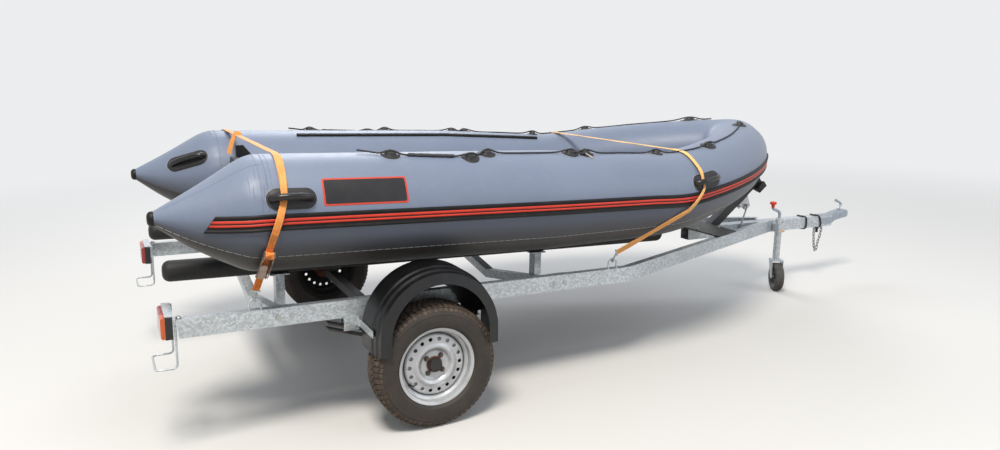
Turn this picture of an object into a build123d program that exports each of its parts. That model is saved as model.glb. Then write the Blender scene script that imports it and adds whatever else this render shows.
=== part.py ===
from build123d import *
from math import acos, asin, atan2, cos, degrees, radians, sin, tan, hypot, sqrt
import os

# Inflatable boat on its single-axle road trailer, in millimetres.
# Everything is drawn on a level frame: +X towards the coupling, +Y to port, +Z up,
# zero on the ground under the axle. park() then lowers the nose on to the jockey wheel
# and puts the origin under the middle of the whole outfit.

# Wheels and axle
wheel_radius = 287.5
tyre_width = 175
wheel_track = 1900
rim_width = 140
rim_flange_radius = 182
rim_wall = 4
wheel_vent_count = 18
wheel_vent_radius = 7.5
wheel_vent_circle = 120
bolt_circle_radius = 49
bolt_hole_radius = 7
bolt_count = 4
hub_radius = 62
hub_cap_radius = 29
hub_face = 24.95
hub_end = 56
spindle_radius = 16
running_gap = 0.05
axle_size = 50

# Galvanised frame
rail_height = 80
rail_width = 40
sheet = 3
frame_inset = 145
frame_rear = -1053
frame_bend = 1188
rail_nose = 2980
rail_top = 581
rail_end_slant = 10
drawbar_size = 80
drawbar_rear = 2250
drawbar_front = 3640
drawbar_drop = 12
crossmember_width = 50
crossmember_depth = 48
crossmember_lowering = 25
crossmember_drop = 130
crossmember_places = (-620, 760)
end_plate = 5
end_plate_reach = 50
weld_grip = 5
rail_nose_half_width = drawbar_size / 2 + rail_width - weld_grip
frame_half_width = wheel_track / 2 - frame_inset
frame_bottom = rail_top - rail_height
drawbar_top = rail_top - drawbar_drop
drawbar_bottom = drawbar_top - drawbar_size

# Attitude as parked, and the place of the origin along the frame
park_slope = 1.49
origin_x = 1352.2

# Boat tubes: centreline in plan and side view
tube_y = 685
tube_stern = -690
tube_stern_z = 979
tube_radius_stern = 252
tube_radius_nose = 200
taper_start = 700
taper_end = 1700
nose_taper = 15
boat_slope = 0.0175
bow_start = 1250
bow_radius = 1750
nose_corner_radius = 50
sheer_start = 1380
sheer_slope = 0.16
sheer_blend = 200
cone_lean_out = 0.117
cone_sections = ((-1108, 31, 10), (-1000, 100.5, -2), (-900, 160.5, -6), (-820, 206.5, -4), (-760, 237.5, -2),
                 (-715, 250, 0), (tube_stern, tube_radius_stern, 0))
cap_length = 25

# Bunks that carry the boat
bunk_y = 470
bunk_radius = 47
bunk_rear = -1075
bunk_front = 1652
bunk_stern_z = 701
bunk_slope = 0.0135
bunk_post_width = 60
bunk_post_depth = 40
seat_gap = 0.3

# Jockey wheel
jockey_x = 3025
jockey_y = -100
jockey_outer_radius = 24
jockey_inner_radius = 20
jockey_wheel_radius = 100
jockey_wheel_width = 60
jockey_trail = 45
jockey_tread_round = 10
caster_turn = 61


# Attitude and symmetry

def park(shape):
    """Lower the nose about the axle and move the origin under the middle of the outfit."""
    about_axle = Pos(-origin_x, 0, wheel_radius) * Rot(0, park_slope, 0) * Pos(0, 0, -wheel_radius)
    return about_axle * shape


def save(name, *solids):
    """Write one node; its solids are already in the level frame."""
    os.makedirs("parts", exist_ok=True)
    parked = [park(solid) for solid in solids]
    shape = parked[0] if len(parked) == 1 else Compound(children=parked)
    export_step(shape, f"parts/{name}.step")


def mirrored(solid):
    """The same piece on the other side of the boat."""
    return mirror(solid, about=Plane.XZ)


def block(x0, x1, y0, y1, z0, z1):
    """A box between two corners."""
    return Pos((x0 + x1) / 2, (y0 + y1) / 2, (z0 + z1) / 2) * Box(x1 - x0, y1 - y0, z1 - z0)


def rod(start, end, radius):
    """A round bar between two points."""
    start, end = Vector(*start), Vector(*end)
    plane = Plane(origin=start, z_dir=end - start)
    return extrude(plane * Circle(radius), (end - start).length)


def bent_rod(points, bend, radius):
    """A round bar along points, with every corner bent to one radius."""
    path = FilletPolyline(*points, radius=bend)
    section = Plane(origin=path @ 0, z_dir=path % 0) * Circle(radius)
    return sweep(section, path=path)


def strip(points, inner, outer, z0, z1):
    """A mitred band beside a plan polyline, between two offsets to its right."""
    def shifted(offset):
        line = []
        for i, (x, y) in enumerate(points):
            before = points[max(i - 1, 0)]
            after = points[min(i + 1, len(points) - 1)]
            a = Vector(x - before[0], y - before[1]) if i else None
            b = Vector(after[0] - x, after[1] - y) if i < len(points) - 1 else None
            a = (a or b).normalized()
            b = (b or a).normalized()
            normal = (Vector(a.Y, -a.X) + Vector(b.Y, -b.X)).normalized()
            reach = offset / normal.dot(Vector(a.Y, -a.X))
            line.append((x + normal.X * reach, y + normal.Y * reach))
        return line
    outline = shifted(inner) + shifted(outer)[::-1]
    return Pos(0, 0, z0) * extrude(make_face(Polyline(*outline, close=True)), z1 - z0)


# Boat centreline

bow_turn = degrees(acos((bow_radius - tube_y) / (bow_radius - nose_corner_radius)))
nose_x = bow_start + bow_radius * sin(radians(bow_turn)) \
    + nose_corner_radius * (1 - sin(radians(bow_turn)))


def tube_axis_z(x):
    """Height of the tube's axis: straight aft, with the bow swept up."""
    run = max(x - sheer_start, 0)
    rise = sheer_slope * (run * run / (2 * sheer_blend) if run < sheer_blend else run - sheer_blend / 2)
    return tube_stern_z - boat_slope * (x - tube_stern) + rise


def cone_value(x, column):
    """Radius or rise of the stern cone, read between its sections."""
    for aft, fore in zip(cone_sections, cone_sections[1:]):
        if x <= fore[0]:
            share = (x - aft[0]) / (fore[0] - aft[0])
            return aft[column] + share * (fore[column] - aft[column])
    return cone_sections[-1][column]


def tube_radius(x):
    """The tube tapers towards the bow, and to a cone aft of its seam."""
    if x < tube_stern:
        return cone_value(x, 1)
    share = min(max((x - taper_start) / (taper_end - taper_start), 0), 1)
    slim = tube_radius_stern - share * (tube_radius_stern - tube_radius_nose - nose_taper)
    share = min(max((x - taper_end) / (nose_x - taper_end), 0), 1)
    return slim - share * nose_taper


def tube_axis_y(x):
    """Half beam of the tube's axis at a station before the nose corner."""
    if x <= bow_start:
        return tube_y
    return tube_y - bow_radius + sqrt(bow_radius ** 2 - (x - bow_start) ** 2)


def tube_heading(x):
    """Direction of the starboard tube's axis, towards the bow."""
    turn = 0 if x <= bow_start else (x - bow_start) / bow_radius
    plan = Vector(sqrt(1 - turn ** 2), turn, 0)
    climb = (tube_axis_z(x + 1) - tube_axis_z(x - 1)) / 2 * plan.X
    return (plan + Vector(0, 0, climb)).normalized()


def station(x, side=-1):
    """Plane square to the tube at one station: its x axis points outboard, its y axis up."""
    if x < tube_stern:
        centre = x, side * (tube_y + cone_lean_out * (tube_stern - x)), tube_stern_z + cone_value(x, 2)
        return Plane(origin=centre, x_dir=(0, side, 0), z_dir=(side, 0, 0))
    ahead = tube_heading(x)
    aft = Vector(side * ahead.X, -ahead.Y, side * ahead.Z)
    outboard = Vector(0, 0, 1).cross(aft).normalized()
    centre = Vector(x, side * tube_axis_y(x), tube_axis_z(x))
    return Plane(origin=centre, x_dir=outboard, z_dir=aft)


def nose_sections():
    """Fan of sections from the starboard side to the centreline, about the nose's inner corner."""
    half_corner = radians(bow_turn)
    inner_x = nose_x - tube_radius_nose / sin(half_corner)
    corner = nose_x - inner_x
    swing = 90 - bow_turn
    seam = degrees(atan2(tube_radius_nose * cos(half_corner), corner + tube_radius_nose * sin(half_corner)))
    fan = []
    for turn in (swing * 0.8, (swing + seam) / 2, seam, seam / 2, 0):
        if turn >= seam:
            length = 2 * tube_radius_nose / cos(radians(swing - turn))
        else:
            across = corner * sin(radians(turn))
            length = corner * cos(radians(turn)) + sqrt(tube_radius_nose ** 2 - across ** 2)
        outward = Vector(cos(radians(turn)), -sin(radians(turn)), 0)
        centre = Vector(inner_x, 0, tube_axis_z(nose_x)) + outward * (length / 2)
        centre = Vector(centre.X, centre.Y, tube_axis_z(centre.X))
        fan.append((Plane(origin=centre, x_dir=outward, z_dir=outward.cross(Vector(0, 0, 1))), length / 2))
    return fan


# Tubes

bow_steps = 8
bow_reach = nose_x - tube_radius_nose * cos(radians(bow_turn)) / tan(radians(bow_turn)) - 15
bow_stations = [bow_start + i / bow_steps * (bow_reach - bow_start) for i in range(bow_steps + 1)]


def make_side_tube():
    """Starboard tube from the stern seam to the bow seam."""
    places = (tube_stern, taper_start, bow_start)
    return loft([station(x) * Circle(tube_radius(x)) for x in places], ruled=True)


def make_bow_tube():
    """Starboard half of the bow, up to the bulkhead on the centreline."""
    sections = [station(x) * Circle(tube_radius(x)) for x in bow_stations]
    sections += [plane * Ellipse(half, tube_radius_nose) for plane, half in nose_sections()]
    return loft(sections, ruled=True)


def make_cone():
    """Starboard stern cone, full at its shoulder."""
    return loft([station(x) * Circle(radius) for x, radius, rise in cone_sections], ruled=True)


def make_cap():
    """Domed plug on the cone's tip."""
    x, radius, rise = cone_sections[0]
    dome = extrude(Circle(radius), cap_length)
    dome = fillet(dome.edges().group_by(Axis.Z)[-1], radius * 0.6)
    return Pos(x, station(x).origin.Y, station(x).origin.Z) * Rot(0, -90, 0) * dome


side_tube = make_side_tube()
bow_tube = make_bow_tube()
cone = make_cone()
save("tube_starboard", side_tube)
save("tube_port", mirrored(side_tube))
save("bow_starboard", bow_tube)
save("bow_port", mirrored(bow_tube))
save("stern_cones", cone, mirrored(cone))
cap = make_cap()
save("cone_caps", cap, mirrored(cap))

# Rub strake round the tubes
strake_height = 68
strake_thickness = 14
strake_start = -935
strake_end_slant = 45
strake_droop = 8
strake_edge = 4
skin_gap = 0.5


def strake_section(plane, reach, droop):
    """Rib with a hollow back that beds on the skin, at one section of the tube."""
    back = reach + skin_gap
    half = degrees(strake_height / 2 / back)
    low = back * cos(radians(half)), -back * sin(radians(half))
    high = low[0], -low[1]
    bed = ThreePointArc(low, (back, 0), high)
    face = back + strake_thickness
    flat = strake_height / 2 - strake_edge
    front = Polyline(high, (face, flat), (face, -flat), low)
    return plane * Rot(0, 0, -droop) * make_face(bed + front)


def make_strake():
    """The rib's bow part, its straight side and its end on the cone."""
    drop = {x: strake_droop * i / bow_steps for i, x in enumerate(bow_stations)}
    sections = [strake_section(station(x), tube_radius(x), drop[x]) for x in bow_stations]
    sections += [strake_section(plane, half, strake_droop) for plane, half in nose_sections()]
    bow = loft(sections, ruled=True)
    side = loft([strake_section(station(x), tube_radius(x), 0) for x in (tube_stern, taper_start, bow_start)],
                ruled=True)
    aft = [strake_start] + [x for x, radius, rise in cone_sections if strake_start < x < tube_stern]
    stern = loft([strake_section(station(x), tube_radius(x), 0) for x in aft + [tube_stern - 1]], ruled=True)
    middle = station(strake_start).origin
    half = strake_height / 2
    corner = [(strake_start - 1, half + 5), (strake_start + strake_end_slant, half + 5),
              (strake_start - 1, -half)]
    wedge = extrude(Plane.XZ * make_face(Polyline(*corner, close=True)), frame_half_width, both=True)
    return bow, side, stern - Pos(0, middle.Y, middle.Z) * wedge


bow_strake, side_strake, stern_strake = make_strake()
save("strake_bow_starboard", bow_strake)
save("strake_bow_port", mirrored(bow_strake))
save("strake_sides", side_strake, mirrored(side_strake))
save("strake_sterns", stern_strake, mirrored(stern_strake))

# Fabric V bottom, floor and transom
keel_depth = 115
seam_angle = 28
deck_low_angle = 50
deck_high_angle = 68
chine_inset = 12
bow_locker = 300
transom_x = -640
transom_thickness = 36
transom_top = 1105
bow_seam_gap = 3.5
bottom_end_gap = 245
bottom_reach = nose_x - bottom_end_gap - bow_start
bottom_shares = (0.18, 0.36, 0.54, 0.71, 0.87, 1)
bottom_stations = [transom_x, taper_start, bow_start]
bottom_stations += [bow_start + share * bottom_reach for share in bottom_shares]


def skin_point(x, angle, span):
    """Point inboard of the starboard tube's skin, as (half beam, height), by its angle from the tube's foot."""
    turn = 0 if x <= bow_start else (x - bow_start) / bow_radius
    gap = skin_gap if x <= bow_start else bow_seam_gap
    reach = (tube_radius(x) + gap) / cos(radians(span / 2))
    half = tube_axis_y(x) - reach * sin(radians(angle)) / sqrt(1 - turn ** 2)
    return half, tube_axis_z(x) - reach * cos(radians(angle))


def bunk_axis_z(x):
    """Height of the straight bunk's axis."""
    return bunk_stern_z - bunk_slope * (x - tube_stern)


def chine_height(x):
    """Height of the chine, where the skin from the seam just clears the bunk's round top."""
    seam_y, seam_z = skin_point(x, seam_angle, deck_low_angle - seam_angle)
    across, up = seam_y - bunk_y, seam_z - bunk_axis_z(x)
    slope = atan2(up, across) - asin((bunk_radius + seat_gap) / hypot(across, up))
    return seam_z - (across + chine_inset) * tan(slope)


def bottom_section(x):
    """Cross-section of the V bottom at one station, from the keel up to the floor."""
    span = deck_low_angle - seam_angle
    seam_y, seam_z = skin_point(x, seam_angle, span)
    edge_y, edge_z = skin_point(x, deck_low_angle, span)
    fade = min(max((nose_x - bow_locker - x) / (nose_x - bow_locker - bow_start), 0.1), 1)
    chine_y = min(bunk_y - chine_inset, seam_y * 0.85)
    level_part = min(x, bow_start)
    depth = skin_point(level_part, seam_angle, span)[1] - chine_height(level_part)
    starboard = [(chine_y, seam_z - depth * fade), (seam_y, seam_z), (edge_y, edge_z)]
    port = [(-y, z) for y, z in reversed(starboard)]
    return [(0, seam_z - keel_depth * fade)] + starboard + port


def deck_section(x):
    """Cross-section of the inflated floor at one station."""
    span = deck_high_angle - deck_low_angle
    low_y, low_z = skin_point(x, deck_low_angle, span)
    low_y = min(low_y, skin_point(x, deck_low_angle, deck_low_angle - seam_angle)[0])
    low_z = skin_point(x, deck_low_angle, deck_low_angle - seam_angle)[1]
    high_y, high_z = skin_point(x, deck_high_angle, span)
    return [(-low_y, low_z), (low_y, low_z), (high_y, high_z), (-high_y, high_z)]


def lofted(section):
    """Ruled solid through one section at every station of the bottom."""
    faces = []
    for x in bottom_stations:
        plane = Plane(origin=(x, 0, 0), x_dir=(0, 1, 0), z_dir=(1, 0, 0))
        faces.append(plane * make_face(Polyline(*section(x), close=True)))
    return loft(faces, ruled=True)


save("hull_bottom", lofted(bottom_section))
save("floor_deck", lofted(deck_section))
transom_side = [skin_point(transom_x, angle, 22) for angle in (deck_high_angle, 90, 112)]
transom_side[0] = transom_side[0][0], deck_section(transom_x)[2][1]
outline = transom_side + [(transom_side[-1][0] - 25, transom_top)]
outline = outline + [(-y, z) for y, z in reversed(outline)]
transom_plane = Plane(origin=(transom_x, 0, 0), x_dir=(0, 1, 0), z_dir=(1, 0, 0))
save("transom", extrude(transom_plane * make_face(Polyline(*outline, close=True)), transom_thickness))

# Carry handles: moulded grip on an oval base
handle_length = 204
handle_width = 90
handle_base = 6
handle_rise = 38
handle_grip_radius = 15
handle_leg = 20
handle_places = ((-600, 21.5), (1612, 19), (-850, 147))


def on_skin(x, angle, lift=0):
    """Point on the starboard tube's skin, or lifted off it."""
    base = station(x)
    out = base.x_dir * cos(radians(angle)) + base.y_dir * sin(radians(angle))
    return base.origin + out * (tube_radius(x) + lift)


def on_tube(x, angle):
    """Plane that lies on the skin: x axis along the tube, z axis outwards."""
    along = (on_skin(x + 5, angle) - on_skin(x - 5, angle)).normalized()
    around = on_skin(x, angle + 1) - on_skin(x, angle - 1)
    return Plane(origin=on_skin(x, angle), x_dir=along, z_dir=along.cross(around).normalized())


def make_handle(x, angle):
    """One handle: a rounded grip that arches over its oval base."""
    plate = Pos(0, 0, -2 * handle_base) * extrude(SlotOverall(handle_length, handle_width), 3 * handle_base)
    half = handle_length / 2 - handle_leg
    arch = [(-half, 0, 0), (-half + 12, 0, handle_rise), (half - 12, 0, handle_rise), (half, 0, 0)]
    grip = bent_rod(arch, 20, handle_grip_radius)
    handle = on_tube(x, angle) * (plate + grip)
    for bed in (cone, side_tube) if x < bow_start else (bow_tube,):
        handle = handle - bed
    return handle


handles = [make_handle(x, angle) for x, angle in handle_places]
save("carry_handles", *handles, *[mirrored(handle) for handle in handles])

# Grab line eyelets along the top of the tubes
eyelet_radius = 36
eyelet_thickness = 5
eyelet_boss_radius = 15
eyelet_boss_height = 17
eyelet_places = ((-122, 76), (256, 67), (358, 76), (827, 76), (920, 76), (1421, 88), (1835, 76), (2440, 85))


def make_eyelet(x, angle):
    """Round patch with a domed boss for the line."""
    patch = Pos(0, 0, -8) * extrude(Circle(eyelet_radius), 8 + eyelet_thickness)
    boss = extrude(Circle(eyelet_boss_radius), eyelet_boss_height)
    boss = fillet(boss.edges().group_by(Axis.Z)[-1], eyelet_boss_radius * 0.7)
    return on_tube(x, angle) * (patch + boss) - (side_tube if x < bow_start else bow_tube)


eyelets = [make_eyelet(x, angle) for x, angle in eyelet_places]
save("line_eyelets", *eyelets, *[mirrored(eyelet) for eyelet in eyelets])

# Rails for the bench, glued along the inner shoulders of the tubes
bench_rail_angle = 114.5
bench_rail_width = 26
bench_rail_height = 12
bench_rail_rear = -240


def bench_rail_section(x):
    """Raised bead with a hollow back, at one station."""
    back = tube_radius(x) + skin_gap
    half = degrees(bench_rail_width / 2 / back)
    low = back * cos(radians(half)), -back * sin(radians(half))
    bed = ThreePointArc(low, (back, 0), (low[0], -low[1]))
    crown = back + bench_rail_height
    narrow = bench_rail_width / 4
    face = make_face(bed + Polyline((low[0], -low[1]), (crown, narrow), (crown, -narrow), low))
    return station(x) * Rot(0, 0, bench_rail_angle) * face


bench_rail = loft([bench_rail_section(x) for x in (bench_rail_rear, taper_start, bow_start, bow_stations[1])],
                  ruled=True)
save("bench_rails", bench_rail, mirrored(bench_rail))

# Gussets that tie the transom to the tubes
holder_y = 457
holder_width = 18
holder_length = 104
holder_top = 1165


def make_holder():
    """Sloping gusset that stands on the tube against the transom's front face."""
    rear = transom_x + transom_thickness
    front = rear + holder_length
    outline = [(rear, tube_stern_z), (front, tube_stern_z), (front, holder_top - 80), (rear + 40, holder_top),
               (rear, holder_top)]
    gusset = extrude(Plane.XZ * make_face(Polyline(*outline, close=True)), holder_width / 2, both=True)
    return Pos(0, -holder_y, 0) * gusset - side_tube


holder = make_holder()
save("transom_holders", holder, mirrored(holder))

# Frame rails: channels that turn in to the drawbar
rail_line = [(frame_rear, -frame_half_width), (frame_bend, -frame_half_width),
             (rail_nose, -rail_nose_half_width)]


def make_rail():
    """Starboard rail."""
    web = strip(rail_line, -sheet, 0, frame_bottom, rail_top)
    top = strip(rail_line, -rail_width, 0, rail_top - sheet, rail_top)
    foot = strip(rail_line, -rail_width, 0, frame_bottom, frame_bottom + sheet)
    end = [(frame_rear - 1, frame_bottom - 1), (frame_rear + rail_end_slant, frame_bottom - 1),
           (frame_rear - 1, rail_top)]
    cut = extrude(Plane.XZ * make_face(Polyline(*end, close=True)), frame_half_width + 1, both=True)
    return web + top + foot - cut


drawbar = block(drawbar_rear, drawbar_front, -drawbar_size / 2, drawbar_size / 2, drawbar_bottom, drawbar_top)
drawbar_bore = drawbar_size / 2 - sheet
drawbar = drawbar - block(drawbar_rear - 1, drawbar_front + 1, -drawbar_bore, drawbar_bore,
                          drawbar_bottom + sheet, drawbar_top - sheet)
drawbar_space = block(0, drawbar_front, -drawbar_size / 2, drawbar_size / 2, 0, 2 * rail_top)
rail = make_rail() - drawbar_space
save("rail_starboard", rail)
save("rail_port", mirrored(rail))
save("drawbar", drawbar)

# V-shaped cross-members
crossmember_half = frame_half_width - rail_width


def crossmember_top(y):
    """Height of the bar's top at a distance from the middle."""
    return rail_top - crossmember_lowering - crossmember_drop * (1 - y / crossmember_half)


def make_crossmember(x):
    """Bar that drops to the middle, with an end plate at each rail."""
    upper = [(-crossmember_half, crossmember_top(crossmember_half)), (0, crossmember_top(0)),
             (crossmember_half, crossmember_top(crossmember_half))]
    outline = upper + [(y, z - crossmember_depth) for y, z in upper[::-1]]
    plane = Plane(origin=(x - crossmember_width / 2, 0, 0), x_dir=(0, 1, 0), z_dir=(1, 0, 0))
    beam = extrude(plane * make_face(Polyline(*outline, close=True)), crossmember_width)
    for side in (-1, 1):
        inner = side * crossmember_half
        beam = beam + block(x - end_plate_reach, x + end_plate_reach, min(inner, inner - side * end_plate),
                            max(inner, inner - side * end_plate), frame_bottom, rail_top)
    return beam


for name, x in zip(("crossmember_rear", "crossmember_front"), crossmember_places):
    save(name, make_crossmember(x))

# Bunks and their posts
cradle_length = 90
cradle_width = 70
cradle_plate = 6


def make_bunk():
    """Padded beam with domed ends."""
    start = Vector(bunk_rear, -bunk_y, bunk_axis_z(bunk_rear))
    end = Vector(bunk_front, -bunk_y, bunk_axis_z(bunk_front))
    length = (end - start).length
    beam = extrude(Circle(bunk_radius), length)
    beam = fillet(beam.edges().filter_by(GeomType.CIRCLE), bunk_radius * 0.7)
    return Plane(origin=start, x_dir=(0, 1, 0), z_dir=end - start) * beam


def make_bunk_post(x):
    """Post on the cross-member's front face, with a cradle plate under the bunk."""
    rear = x + crossmember_width / 2
    front = rear + bunk_post_depth
    middle = (rear + front) / 2
    foot = crossmember_top(bunk_y - bunk_post_width / 2) - crossmember_depth
    head = bunk_axis_z(middle + cradle_length / 2) - bunk_radius - seat_gap
    post = block(rear, front, -bunk_y - bunk_post_width / 2, -bunk_y + bunk_post_width / 2, foot, head)
    cradle = block(middle - cradle_length / 2, middle + cradle_length / 2, -bunk_y - cradle_width / 2,
                   -bunk_y + cradle_width / 2, head - cradle_plate, head)
    return post + cradle


bunk = make_bunk()
save("bunks", bunk, mirrored(bunk))
posts = [make_bunk_post(x) for x in crossmember_places]
save("bunk_posts", *posts, *[mirrored(post) for post in posts])

# Axle and leaf springs
spring_y = frame_half_width - rail_width / 2
spring_half = 330
leaf_width = 45
leaf_thickness = 7
leaf_step = 20
leaf_tail = 105
leaf_lead = 20
leaf_clamp_half = 45
leaf_bend_half = 90
leaf_camber = 30
hanger_drop = 60
hanger_half = 35
leaf_rise = 12
hanger_wall = 5
axle_half = wheel_track / 2 - 70
spindle_end = wheel_track / 2 + 34


def make_axle():
    """Square beam with a round spindle at each end."""
    beam = block(-axle_size / 2, axle_size / 2, -axle_half, axle_half,
                 wheel_radius - axle_size / 2, wheel_radius + axle_size / 2)
    for side in (-1, 1):
        beam = beam + rod((0, side * (axle_half - 1), wheel_radius), (0, side * spindle_end, wheel_radius),
                          spindle_radius)
    return beam


def make_spring():
    """Two leaves bent down to the axle, clamped by a plate."""
    low = wheel_radius + axle_size / 2
    leaves = []
    for i in range(2):
        z = low + i * (leaf_thickness + leaf_step)
        tip = frame_bottom - hanger_drop + leaf_rise + i * (leaf_thickness + leaf_step)
        line = [(-spring_half - leaf_tail, tip), (-leaf_bend_half, z + leaf_camber), (-leaf_clamp_half, z),
                (leaf_clamp_half, z), (leaf_bend_half, z + leaf_camber), (spring_half + leaf_lead, tip)]
        upper = [(x, height + leaf_thickness) for x, height in reversed(line)]
        leaf = extrude(Plane.XZ * make_face(Polyline(*(line + upper), close=True)), leaf_width / 2, both=True)
        leaves.append(Pos(0, -spring_y, 0) * leaf)
    packer = block(-leaf_clamp_half, leaf_clamp_half, -spring_y - leaf_width / 2, -spring_y + leaf_width / 2,
                   low + leaf_thickness, low + leaf_thickness + leaf_step)
    return leaves[0] + leaves[1] + packer


def make_hanger(x):
    """Bracket under the rail that holds the spring's end."""
    half = leaf_width / 2 + hanger_wall
    inside = leaf_width / 2 + seat_gap
    body = block(x - hanger_half, x + hanger_half, -spring_y - half, -spring_y + half,
                 frame_bottom - hanger_drop, frame_bottom)
    return body - block(x - hanger_half - 1, x + hanger_half + 1, -spring_y - inside, -spring_y + inside,
                        frame_bottom - hanger_drop - 1, frame_bottom - hanger_wall)


save("axle", make_axle())
spring = make_spring()
save("leaf_springs", spring, mirrored(spring))
hangers = [make_hanger(x) for x in (-spring_half, spring_half)]
save("spring_hangers", *hangers, *[mirrored(hanger) for hanger in hangers])

# Fenders
fender_radius = 297
fender_centre_x = 8
fender_centre_z = 445
fender_outer_y = wheel_track / 2 + 106
fender_skirt_radius = 232
fender_wall = 3
fender_leg = 70
fender_steps = ((-118, 0), (15, 0), (25, 6), (55, 7), (68, 14), (96, 17))
stay_width = 30
stay_thickness = 5
stay_reach = 60
stay_top = 486


def make_fender():
    """Stepped arch over the starboard wheel, with short straight legs."""
    outer = [(wheel_track / 2 + out, fender_radius - drop) for out, drop in fender_steps]
    outer = outer + [(fender_outer_y, fender_skirt_radius)]
    inner = [(y - (fender_wall if i else 0), radius - fender_wall) for i, (y, radius) in enumerate(outer)]
    inner[-1] = (fender_outer_y - fender_wall, fender_skirt_radius)
    outline = Polyline(*[(-y, radius) for y, radius in outer + inner[::-1]], close=True)
    arch = Rot(0, -90, 0) * revolve(Plane.YZ * make_face(outline), Axis.Y, 180)
    leg = extrude(Plane(origin=(0, 0, 0), x_dir=(0, 1, 0), z_dir=(0, 0, 1)) * make_face(outline), -fender_leg)
    return Pos(fender_centre_x, 0, fender_centre_z) * (arch + leg + mirror(leg, about=Plane.YZ))


def make_stay(side):
    """Angled flat bar from the spring hanger's cheek to one leg of the fender."""
    near = fender_radius + side * fender_centre_x + seat_gap
    far = near + stay_thickness
    cheek = spring_y + leaf_width / 2 + hanger_wall + seat_gap
    bar = block(near, far, stay_reach - fender_outer_y, -cheek, stay_top - stay_width, stay_top)
    foot = block(near, spring_half + hanger_half, -cheek - stay_thickness, -cheek,
                 stay_top - stay_width, stay_top)
    return bar + foot if side > 0 else mirror(bar + foot, about=Plane.YZ)


fender = make_fender()
save("fender_starboard", fender)
save("fender_port", mirrored(fender))
stays = [make_stay(side) for side in (-1, 1)]
save("fender_stays", *stays, *[mirrored(stay) for stay in stays])

# Wheels


def tyre_profile():
    """Half section of the tyre wall: (axial, radial) from the outer face to the inner one."""
    half = tyre_width / 2
    flange = rim_flange_radius
    outer = [(-rim_width / 2 + 11, flange - 9.5), (-rim_width / 2 + 5.5, flange + 1),
             (-rim_width / 2 - 1, flange + 1.5),
             (-half + 5, flange + 18), (-half, wheel_radius - 59.5), (-half + 6, wheel_radius - 29.5),
             (-half + 22, wheel_radius - 7.5),
             (-40, wheel_radius - 1), (-36, wheel_radius), (-22, wheel_radius), (-21, wheel_radius - 6),
             (-15, wheel_radius - 6), (-14, wheel_radius)]
    outer = outer + [(-a, r) for a, r in reversed(outer)]
    inner = [(rim_width / 2 - 22, flange - 9.5), (half - 15, flange + 18), (half - 10, wheel_radius - 59.5),
             (half - 18, wheel_radius - 32.5), (50, wheel_radius - 15.5)]
    inner = inner + [(-a, r) for a, r in reversed(inner)]
    return outer + inner


def rim_profile():
    """Barrel of the rim: (axial, radial)."""
    half = rim_width / 2
    flange = rim_flange_radius
    outer = [(-half, flange), (-half + 5, flange), (-half + 9, flange - 11), (-45, 168), (-30, 150)]
    outer = outer + [(20, 150), (35, 168), (half - 9, flange - 11), (half - 5, flange), (half, flange)]
    inner = [(half, rim_flange_radius - rim_wall), (half - 3, rim_flange_radius - rim_wall), (half - 5, 167),
             (37, 164), (21, 146), (-31, 146), (-47, 164), (-half + 5, 167),
             (-half + 3, rim_flange_radius - rim_wall), (-half, rim_flange_radius - rim_wall)]
    return outer + inner


def disc_profile():
    """Pressed wheel disc: (axial, radial), welded inside the barrel."""
    outer = [(12, 147), (38, 142), (46, 132), (46, 110), (36, 92), (29, 82), (29, 30)]
    inner = [(25, 30), (25, 84), (32, 95), (42, 112), (42, 130), (36, 138), (8, 143), (8, 147)]
    return outer + inner


def turned(profile):
    """Revolve an (axial, radial) outline about the wheel's axle, outboard to -Y."""
    face = Plane.XY * make_face(Polyline(*[(r, -a) for a, r in profile], close=True))
    return revolve(face, Axis.Y, 360)


wheel_place = Pos(0, -wheel_track / 2, wheel_radius)


def make_rim():
    """Rim with its ring of vent holes and the bolt holes."""
    rim = turned(rim_profile()) + turned(disc_profile())
    drill = Rot(90, 0, 0) * extrude(Circle(wheel_vent_radius), 80)
    for i in range(wheel_vent_count):
        turn = Rot(0, 360 / wheel_vent_count * i, 0)
        rim = rim - turn * Pos(wheel_vent_circle, 0, 0) * drill
    stud = Rot(90, 0, 0) * extrude(Circle(bolt_hole_radius), 80)
    for i in range(bolt_count):
        rim = rim - Rot(0, 45 + 360 / bolt_count * i, 0) * Pos(bolt_circle_radius, 0, 0) * stud
    return wheel_place * rim


def make_hub():
    """Bearing hub with its flange and dust cap, open behind for the spindle."""
    bore = spindle_radius + running_gap
    end = spindle_end - wheel_track / 2 + 2
    profile = [(-60, bore), (-60, 38), (-10, 38), (-10, hub_radius), (hub_face, hub_radius),
               (hub_face, hub_cap_radius), (hub_end - 4, hub_cap_radius), (hub_end, hub_cap_radius - 5),
               (hub_end, 0.0), (end, 0.0), (end, bore)]
    return wheel_place * turned(profile)


for name, side in (("starboard", -1), ("port", 1)):
    pieces = {"tyre": wheel_place * turned(tyre_profile()), "rim": make_rim(), "hub": make_hub()}
    for piece, solid in pieces.items():
        save(f"{piece}_{name}", solid if side < 0 else mirrored(solid))

# Lamps behind the rail ends, on folded brackets, with a round-bar guard below each
lamp_outer_y = frame_half_width - 3
lamp_length = 205
lamp_bottom = 497
lamp_height = 98
housing_depth = 28
lens_depth = 18
lens_inset = 4
lens_bevel = 6
bracket_sheet = 4
bracket_drop = 40
bracket_lip = 34
guard_radius = 4.5
guard_reach = 84
guard_low = 374
guard_bend = 18
guard_x = frame_rear - seat_gap - guard_radius
bracket_x = guard_x - guard_radius - seat_gap
lamp_x = bracket_x - bracket_sheet - seat_gap
lamp_inner_y = lamp_outer_y - lamp_length
lamp_top = lamp_bottom + lamp_height


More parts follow.
